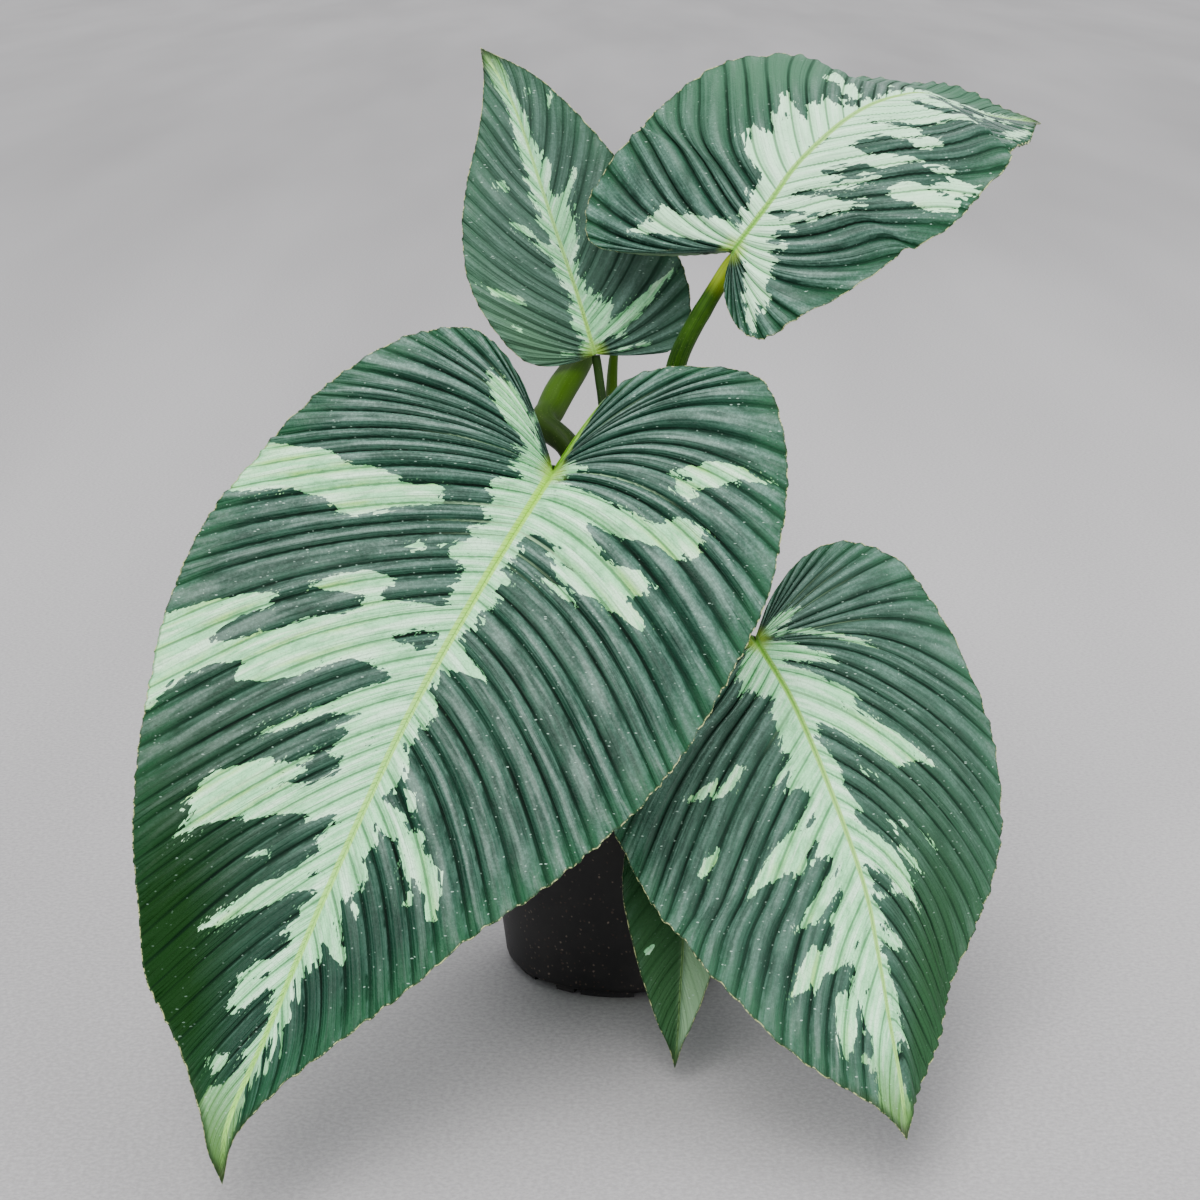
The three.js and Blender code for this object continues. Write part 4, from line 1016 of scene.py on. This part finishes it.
# Stems: the hole in the peat, the free route above it, the radii from foot to end, and for a
# petiole its leaf, how far under the sinus it ends and the direction in which it gets there
stems = {
    "petiole_a": {"hole": (-8, -11), "leaf": "a", "under": 2.4, "approach": (0.1, -0.9, 0.3),
                  "route": [(-9, -13, 130), (-14, -18, 170), (-20, -32, 198)],
                  "radii": (4.4, 4, 3.4, 2.9), "flat": 0.12},
    "petiole_b": {"hole": (8, -11), "leaf": "b", "under": 2.7, "approach": (0.55, -0.75, 0.1),
                  "route": [(13, -12, 122), (25, -17, 143)],
                  "radii": (4, 3.6, 3.1, 2.7), "flat": 0.12},
    "petiole_c": {"hole": (-3, 8), "leaf": "c", "under": 2.35, "approach": (-0.15, 0.12, 1),
                  "route": [(-3, 13, 130), (-4, 28, 170), (-6, 46, 208)],
                  "radii": (3, 2.5, 2, 1.8), "flat": 0.12},
    "petiole_d": {"hole": (10, 5), "leaf": "d", "under": 4.3, "approach": (0.6, 0.1, 0.8),
                  "route": [(12, 4, 130), (12.5, -1, 175), (14.5, -3, 206), (18.5, -3, 229),
                            (23, -3, 249)],
                  "radii": (4.4, 4.3, 4, 3.1), "flat": 0.12},
    "petiole_e": {"hole": (0, -24), "leaf": "e", "under": 2.2, "approach": (0.25, -0.6, -0.75),
                  "route": [(1, -31, 110), (5, -46, 119), (10, -63, 117)],
                  "radii": (2.6, 2.2, 1.9, 1.7), "flat": 0.12},
    "young_leaf_front": {"hole": (-15, 2), "leaf": None,
                         "route": [(-15, 4, 120), (-15, 8, 150), (-15, 11, 190), (-20, 14, 207),
                                   (-30, 26, 214), (-28, 37, 217), (-24, 48, 223), (-17, 63, 231),
                                   (-12, 76, 238), (-9, 86, 245), (-6, 92, 254)],
                         "radii": (3.4, 3.4, 3.5, 3.7, 4.2, 5.2, 6.2, 4.6, 0.7), "flat": 0.0},
    "young_leaf_back": {"hole": (4, 19), "leaf": None,
                        "route": [(4, 26, 130), (0, 56, 180), (-3, 74, 205), (-3, 84, 218),
                                  (-2, 92, 231), (0, 98, 240), (2, 102, 248)],
                        "radii": (3.2, 3.2, 3, 2.9, 2.8, 2.2, 0.7), "flat": 0.0},
}
stemFoot = (78, 88, 98)
stemFleck = rgb(150, 170, 96)


def stemFinish(name, low, high, collar, bright, collarFrom):
    finish, shader, start = newFinish(name, Specular_IOR_Level=0.08)
    run, turn = kept(start, "run"), kept(start, "turn")
    lay = start.add("ShaderNodeCombineXYZ", None, {0: run * 3.0, 1: turn * 40.0, 2: 1.0})
    lines = lay.noise(1.6, 4.0, 0.6)
    blotch = placeOf(start).noise(90.0, 3.0, 0.6)
    colour = (lines * 0.6 + blotch * 0.4).step(0.32, 0.68).blend(low, high)
    colour = (run.step(*collarFrom) * (lines * 0.9 + 0.42)).blend(colour, collar)
    colour = ((1 - run.step(0.0, 0.22)) * 0.65).blend(colour, bright)
    flecks = placeOf(start).cells(900.0)
    colour = ((1 - flecks.step(0.1, 0.2)) * 0.14).blend(colour, stemFleck)
    feed(shader, start, Base_Color=colour, Roughness=0.36 + blotch * 0.2,
         Normal=bumped(start, lines + blotch * 0.5, 0.35, 0.0004))
    return finish


def makeStem(name, finish):
    spec = stems[name]
    hx, hy = spec["hole"]
    points = [(hx, hy, z) for z in stemFoot] + list(spec["route"])
    if spec["leaf"]:
        at, t, n, s = blades[spec["leaf"]].lay(np.array([0.0]))
        end = at[0] - n[0] * spec["under"] - t[0] * 0.5
        way = unit(np.array(spec["approach"], float))
        points += [tuple(end - way * 9), tuple(end)]
    route = Route(points)
    sides, rings = 28, int(route.total / 1.6)

    # a disc drawn out ring by ring, then carried onto the route
    bpy.ops.mesh.primitive_circle_add(vertices=sides, radius=1.0, fill_type="NGON")
    stem = bpy.context.object
    stem.name = name + "_skin"
    bpy.ops.object.mode_set(mode="EDIT")
    bpy.ops.mesh.select_all(action="SELECT")
    for _ in range(rings):
        bpy.ops.mesh.extrude_region_move(TRANSFORM_OT_translate={"value": (0, 0, 1)})
    bpy.ops.mesh.select_all(action="SELECT")
    bpy.ops.mesh.normals_make_consistent(inside=False)
    bpy.ops.object.mode_set(mode="OBJECT")

    mesh = stem.data
    flat = pointsOf(mesh)
    level = np.round(flat[:, 2]).astype(int)
    angle = np.arctan2(flat[:, 1], flat[:, 0])
    s = np.linspace(0, route.total, rings + 1)
    t = unit(route.at(s + 0.5) - route.at(s - 0.5))
    side = np.zeros_like(t)
    last = np.array([1.0, 0, 0])
    for i in range(len(t)):
        last = last - t[i] * (last @ t[i])
        last = last / np.linalg.norm(last)
        side[i] = last
    other = np.cross(t, side)
    share = level / rings
    radius = through(spec["radii"], share)
    if spec["leaf"]:
        # a shallow groove along the upper side, a swollen foot and a slight knee under the blade
        groove = np.exp(-((angle - 0.5 * math.pi) / 0.5) ** 2) * smooth(0.3, 0.7, share)
        radius *= 1 - spec["flat"] * groove
        radius *= 1 + 0.05 * np.exp(-((share - 0.885) / 0.012) ** 2)
        radius *= 1 + 0.03 * np.sin(angle * 3 + share * 9) + 0.012 * np.sin(angle * 7)
    else:
        # a rolled blade: its overlapping edge winds round as a low step
        seam = np.mod(angle + 1.2 + share * 2.2, 2 * math.pi) / (2 * math.pi)
        radius *= 1 + 0.10 * (seam - 0.5) * smooth(0.3, 0.5, share)
        radius *= 1 + 0.02 * np.sin(angle * 5 + share * 14)
    ends = np.where((level == 0) | (level == rings), 0.93, 1.0)
    u, v = np.cos(angle) * radius * ends, np.sin(angle) * radius * ends
    place = route.at(s)[level] + side[level] * u[:, None] + other[level] * v[:, None]
    mesh.vertices.foreach_set("co", (place * mm).ravel())
    for fact, values in (("run", share), ("turn", angle / (2 * math.pi))):
        carry(mesh, fact, values)
    mesh.update()
    mesh.materials.append(finish)
    bpy.ops.object.shade_smooth_by_angle(angle=math.radians(50))
    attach(stem, "root")
    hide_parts(name)
    bpy.ops.object.select_all(action="DESELECT")


print("stems")
# dark and light tones, upper part and foot of each kind of stem, and where along it the upper part
# begins.
# The plain petioles are dark all along as painted shade under the blades; the young rolled leaves
# are dark below the rolled blade, partly the stem's own darker green and partly painted shade
# behind the big lower leaf.
stemColours = {
    "petiole": (rgb(20, 38, 14), rgb(36, 60, 22), rgb(34, 56, 20), rgb(94, 114, 56), (0.9, 0.95)),
    "collared": (rgb(14, 40, 2), rgb(46, 80, 8), rgb(126, 148, 28), rgb(94, 114, 56), (0.91, 0.96)),
    "young": (rgb(14, 30, 2), rgb(34, 56, 8), rgb(54, 84, 14), rgb(100, 118, 60), (0.6, 0.74)),
}
stemFinishes = {kind: stemFinish(kind + "Skin", *tones) for kind, tones in stemColours.items()}
for name, spec in stems.items():
    kind = "young" if not spec["leaf"] else "collared" if spec["leaf"] == "d" else "petiole"
    makeStem(name, stemFinishes[kind])


# Pot: a thin round wall with a rolled lip, a foot ring with gaps, and holes in its floor
potSizes = {
    "height": 105, "rim": 60, "lowRadius": 46, "lowZ": 5.5, "taper": math.tan(math.radians(6.9)),
    "wall": 1.1, "lip": 8, "floorUnder": 2, "floorTop": 3.4, "pad": 14, "footOuter": 42.5,
    "footInner": 39.5, "footGroups": 6, "footGaps": ((7, 24), (34.4, 38.6)), "gapHeight": 1.95,
    "holes": 6, "holeRadius": 4, "holeRing": 27, "holeTurn": 15, "sides": 160,
}
potColours = {"shade": rgb(21, 20, 21), "light": rgb(35, 33, 33), "dust": rgb(72, 67, 64),
              "gritDark": rgb(70, 50, 38), "gritLight": rgb(128, 112, 98)}
soilSizes = {"top": 93, "mound": 3, "gap": 0.3, "rings": 70, "sides": 220, "crumbs": 420,
             "crumbSize": (0.5, 1.5), "crumbReach": 53, "bark": 0.25}
soilColours = {"wet": rgb(28, 20, 15), "dry": rgb(80, 59, 42), "fibre": rgb(116, 90, 62)}


def wallRadius(z):
    return potSizes["lowRadius"] + (z - potSizes["lowZ"]) * potSizes["taper"]


def spun(name, outline, sides):
    # an outline of (radius, height), drawn out point by point and turned about the upright axis
    bpy.ops.mesh.primitive_plane_add(size=mm)
    ob = bpy.context.object
    ob.name = name
    bpy.ops.object.mode_set(mode="EDIT")
    bpy.ops.mesh.merge(type="CENTER")
    was = (0, 0)
    for i, (x, z) in enumerate(outline):
        step = ((x - was[0]) * mm, 0, (z - was[1]) * mm)
        if i == 0:
            bpy.ops.transform.translate(value=step)
        else:
            bpy.ops.mesh.extrude_region_move(TRANSFORM_OT_translate={"value": step})
        was = (x, z)
    bpy.ops.mesh.select_all(action="SELECT")
    bpy.ops.mesh.spin(steps=sides, angle=2 * math.pi, center=(0, 0, 0), axis=(0, 0, 1))
    bpy.ops.mesh.select_all(action="SELECT")
    bpy.ops.mesh.remove_doubles(threshold=1e-6)
    bpy.ops.mesh.normals_make_consistent(inside=False)
    bpy.ops.object.mode_set(mode="OBJECT")
    return ob


def cutAway(body, cutter):
    bpy.ops.object.select_all(action="DESELECT")
    bpy.context.view_layer.objects.active = body
    body.select_set(True)
    cut = body.modifiers.new("cut", "BOOLEAN")
    cut.operation, cut.solver, cut.object = "DIFFERENCE", "EXACT", cutter
    bpy.ops.object.modifier_apply(modifier="cut")
    bpy.data.objects.remove(cutter)


def potFinish():
    finish, shader, start = newFinish("blackPlastic", Specular_IOR_Level=0.4)
    place = placeOf(start)
    haze = place.noise(28.0, 5.0, 0.65)
    scuff = place.spread(1, 1, 0.25).noise(160.0, 3.0, 0.6)
    colour = haze.step(0.35, 0.7).blend(potColours["shade"], potColours["light"])
    low = 1 - place.part("Z").step(0.002, 0.03)
    dust = (low * 0.5 + 0.25) * haze.step(0.4, 0.75)
    colour = (dust * 0.5).blend(colour, potColours["dust"])
    warp = place.noise(300.0, 2.0, 0.5, out=1).spread(0.002, 0.002, 0.002)
    thrown = start.add("ShaderNodeVectorMath", None, {0: place, 1: warp})
    seeds = thrown.cells(560.0)
    rare = seeds.also(1)
    clumps = place.noise(60.0, 2.0).step(0.35, 0.65)
    grit = (1 - seeds.step(0.12, 0.34)) * (rare.part("X") + clumps * 0.25).step(0.62, 0.72)
    gritTone = rare.part("Y").step(0.2, 0.95).blend(potColours["gritDark"], potColours["gritLight"])
    colour = (grit * (0.35 + rare.part("Z") * 0.5)).blend(colour, gritTone)
    feed(shader, start, Base_Color=colour, Roughness=0.46 + haze * 0.22 + dust * 0.3,
         Normal=bumped(start, scuff * 0.5 + haze * 0.3 + grit * 0.6, 0.3, 0.0004))
    return finish


def makePot():
    p = potSizes
    lip = p["height"] - p["lip"]
    pot = spun("nurseryPot", [
        (0, 0), (p["pad"], 0), (p["pad"] + 0.6, 0.3), (p["pad"] + 1.5, p["floorUnder"]),
        (p["footInner"], p["floorUnder"]), (p["footInner"], 0.2), (p["footInner"] + 0.2, 0),
        (p["footOuter"] - 0.2, 0), (p["footOuter"], 0.2), (p["footOuter"], 2.6), (43.8, 2.8),
        (44.8, 3.2), (45.5, 3.9), (p["lowRadius"], p["lowZ"]), (wallRadius(30), 30),
        (wallRadius(60), 60), (wallRadius(lip - 0.4), lip - 0.4), (wallRadius(lip) + 0.3, lip),
        (p["rim"] - 1.0, lip + 0.1), (p["rim"] - 0.5, lip + 0.5), (p["rim"] - 0.4, lip + 1.2),
        (p["rim"], p["height"] - 1.2), (p["rim"] - 0.15, p["height"] - 0.5),
        (p["rim"] - 0.6, p["height"]), (p["rim"] - 1.1, p["height"]),
        (p["rim"] - 1.5, p["height"] - 0.4), (p["rim"] - 1.9, lip + 1.8),
        (wallRadius(lip - 1) - p["wall"], lip - 1), (wallRadius(60) - p["wall"], 60),
        (wallRadius(6) - p["wall"], 6), (43.6, p["floorTop"]), (0, p["floorTop"]),
    ], p["sides"])
    for i in range(p["footGroups"]):
        for begin, end in p["footGaps"]:
            middle = math.radians(-90 + i * 360 / p["footGroups"] + (begin + end) / 2)
            width = math.radians(end - begin) * (p["footInner"] + p["footOuter"]) / 2
            centre = (p["footInner"] + p["footOuter"]) / 2
            bpy.ops.mesh.primitive_cube_add(size=1)
            block = bpy.context.object
            block.scale = (8 * mm, width * mm, 2 * p["gapHeight"] * mm)
            block.location = (centre * math.cos(middle) * mm, centre * math.sin(middle) * mm, 0)
            block.rotation_euler = (0, 0, middle)
            bpy.ops.object.transform_apply(location=True, rotation=True, scale=True)
            cutAway(pot, block)
    for i in range(p["holes"]):
        angle = math.radians(p["holeTurn"] + i * 360 / p["holes"])
        x, y = p["holeRing"] * math.cos(angle), p["holeRing"] * math.sin(angle)
        bpy.ops.mesh.primitive_cylinder_add(vertices=32, radius=p["holeRadius"] * mm, depth=6 * mm,
                                            location=(x * mm, y * mm, 2 * mm))
        bpy.ops.object.transform_apply(location=True, rotation=True, scale=True)
        cutAway(pot, bpy.context.object)
    bpy.ops.object.shade_smooth_by_angle(angle=math.radians(35))
    pot.data.materials.clear()
    pot.data.materials.append(potFinish())
    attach(pot, "root")
    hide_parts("pot")
    bpy.ops.object.select_all(action="DESELECT")


def soilHeight(x, y):
    height = soilSizes["top"] + soilSizes["mound"] * (1 - smooth(10, 50, np.hypot(x, y)))
    height = height + 0.9 * np.sin(x * 0.31 + 1.3) * np.cos(y * 0.27 - 0.4)
    return height + 0.5 * np.sin(x * 0.11 - y * 0.43 + 2.1)


def soilFinish():
    finish, shader, start = newFinish("peat", Roughness=0.95)
    place = placeOf(start)
    crumb = place.cells(420.0)
    tone = place.cells(260.0, out=1).part("X")
    wet = place.noise(60.0, 5.0, 0.65)
    colour = (tone * 0.5 + wet * 0.5).step(0.2, 0.8).blend(soilColours["wet"], soilColours["dry"])
    fibre = place.spread(1, 0.25, 1).noise(700.0, 2.0, 0.5).step(0.62, 0.7)
    colour = (fibre * 0.5).blend(colour, soilColours["fibre"])
    feed(shader, start, Base_Color=colour,
         Normal=bumped(start, crumb * 0.7 + wet * 0.6 + fibre * 0.3, 0.9, 0.0012))
    return finish


def makeSoil():
    s, p = soilSizes, potSizes
    edge = s["top"] - 1.5
    inner = p["wall"] + s["gap"]
    outline = [(0, p["floorTop"] + s["gap"]), (43.2, p["floorTop"] + s["gap"]),
               (wallRadius(6) - inner, 6.4), (wallRadius(edge) - inner, edge)]
    rim = wallRadius(edge) - inner - 0.4
    outline += [(rim * (1 - i / s["rings"]), s["top"]) for i in range(s["rings"])]
    outline += [(0, s["top"])]
    soil = spun("peatSoil", outline, s["sides"])
    mesh = soil.data
    co = pointsOf(mesh) / mm
    r = np.hypot(co[:, 0], co[:, 1])
    top = co[:, 2] > s["top"] - 0.2
    # amplitude, turns a millimetre and start of the waves that roughen the peat
    waves = ((0.5, 0.9, 0.3), (0.4, 1.7, 1.9), (0.3, 2.9, 0.8), (0.22, 4.3, 2.2))
    rough = sum(amp * np.sin(co[:, 0] * f + ph) * np.cos(co[:, 1] * f * 0.9 + ph * 1.7)
                for amp, f, ph in waves)
    height = soilHeight(co[:, 0], co[:, 1]) + rough * (1 - smooth(rim - 4, rim, r))
    for spec in stems.values():
        # the peat dips a little round each stem
        d = np.hypot(co[:, 0] - spec["hole"][0], co[:, 1] - spec["hole"][1])
        height -= 0.8 * np.exp(-((d - spec["radii"][0]) / 3) ** 2)
    co[:, 2] = np.where(top, height, co[:, 2])
    mesh.vertices.foreach_set("co", (co * mm).ravel())
    mesh.update()
    mesh.materials.append(soilFinish())
    bpy.ops.object.shade_smooth_by_angle(angle=math.radians(60))

    # crumbs of peat and bark, one small lump copied about the top
    rng = random.Random(5)
    bpy.ops.object.select_all(action="DESELECT")
    lumps = []
    for i in range(s["crumbs"]):
        bpy.ops.mesh.primitive_ico_sphere_add(subdivisions=1, radius=1)
        lump = bpy.context.object
        r, turn = s["crumbReach"] * math.sqrt(rng.random()), rng.uniform(0, 2 * math.pi)
        x, y = r * math.cos(turn), r * math.sin(turn)
        size = rng.uniform(*s["crumbSize"])
        bark = rng.random() < s["bark"]
        long, high = (2.4, 0.5) if bark else (1.2, 0.9)
        lump.scale = (size * long * mm, size * mm, size * high * mm)
        lump.rotation_euler = (rng.uniform(-0.5, 0.5), rng.uniform(-0.5, 0.5), rng.uniform(0, 6.28))
        lump.location = (x * mm, y * mm, (float(soilHeight(x, y)) + size * 0.2) * mm)
        for v in lump.data.vertices:
            v.co *= rng.uniform(0.75, 1.2)
        lumps.append(lump)
    for lump in lumps:
        lump.select_set(True)
    bpy.context.view_layer.objects.active = lumps[0]
    bpy.ops.object.join()
    crumbs = bpy.context.object
    crumbs.name = "peatCrumbs"
    bpy.ops.object.transform_apply(location=True, rotation=True, scale=True)
    crumbs.data.materials.append(mesh.materials[0])
    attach(soil, "root")
    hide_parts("soil")
    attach(crumbs, "root")
    bpy.ops.object.select_all(action="DESELECT")


print("pot and peat")
makePot()
makeSoil()

print("done")
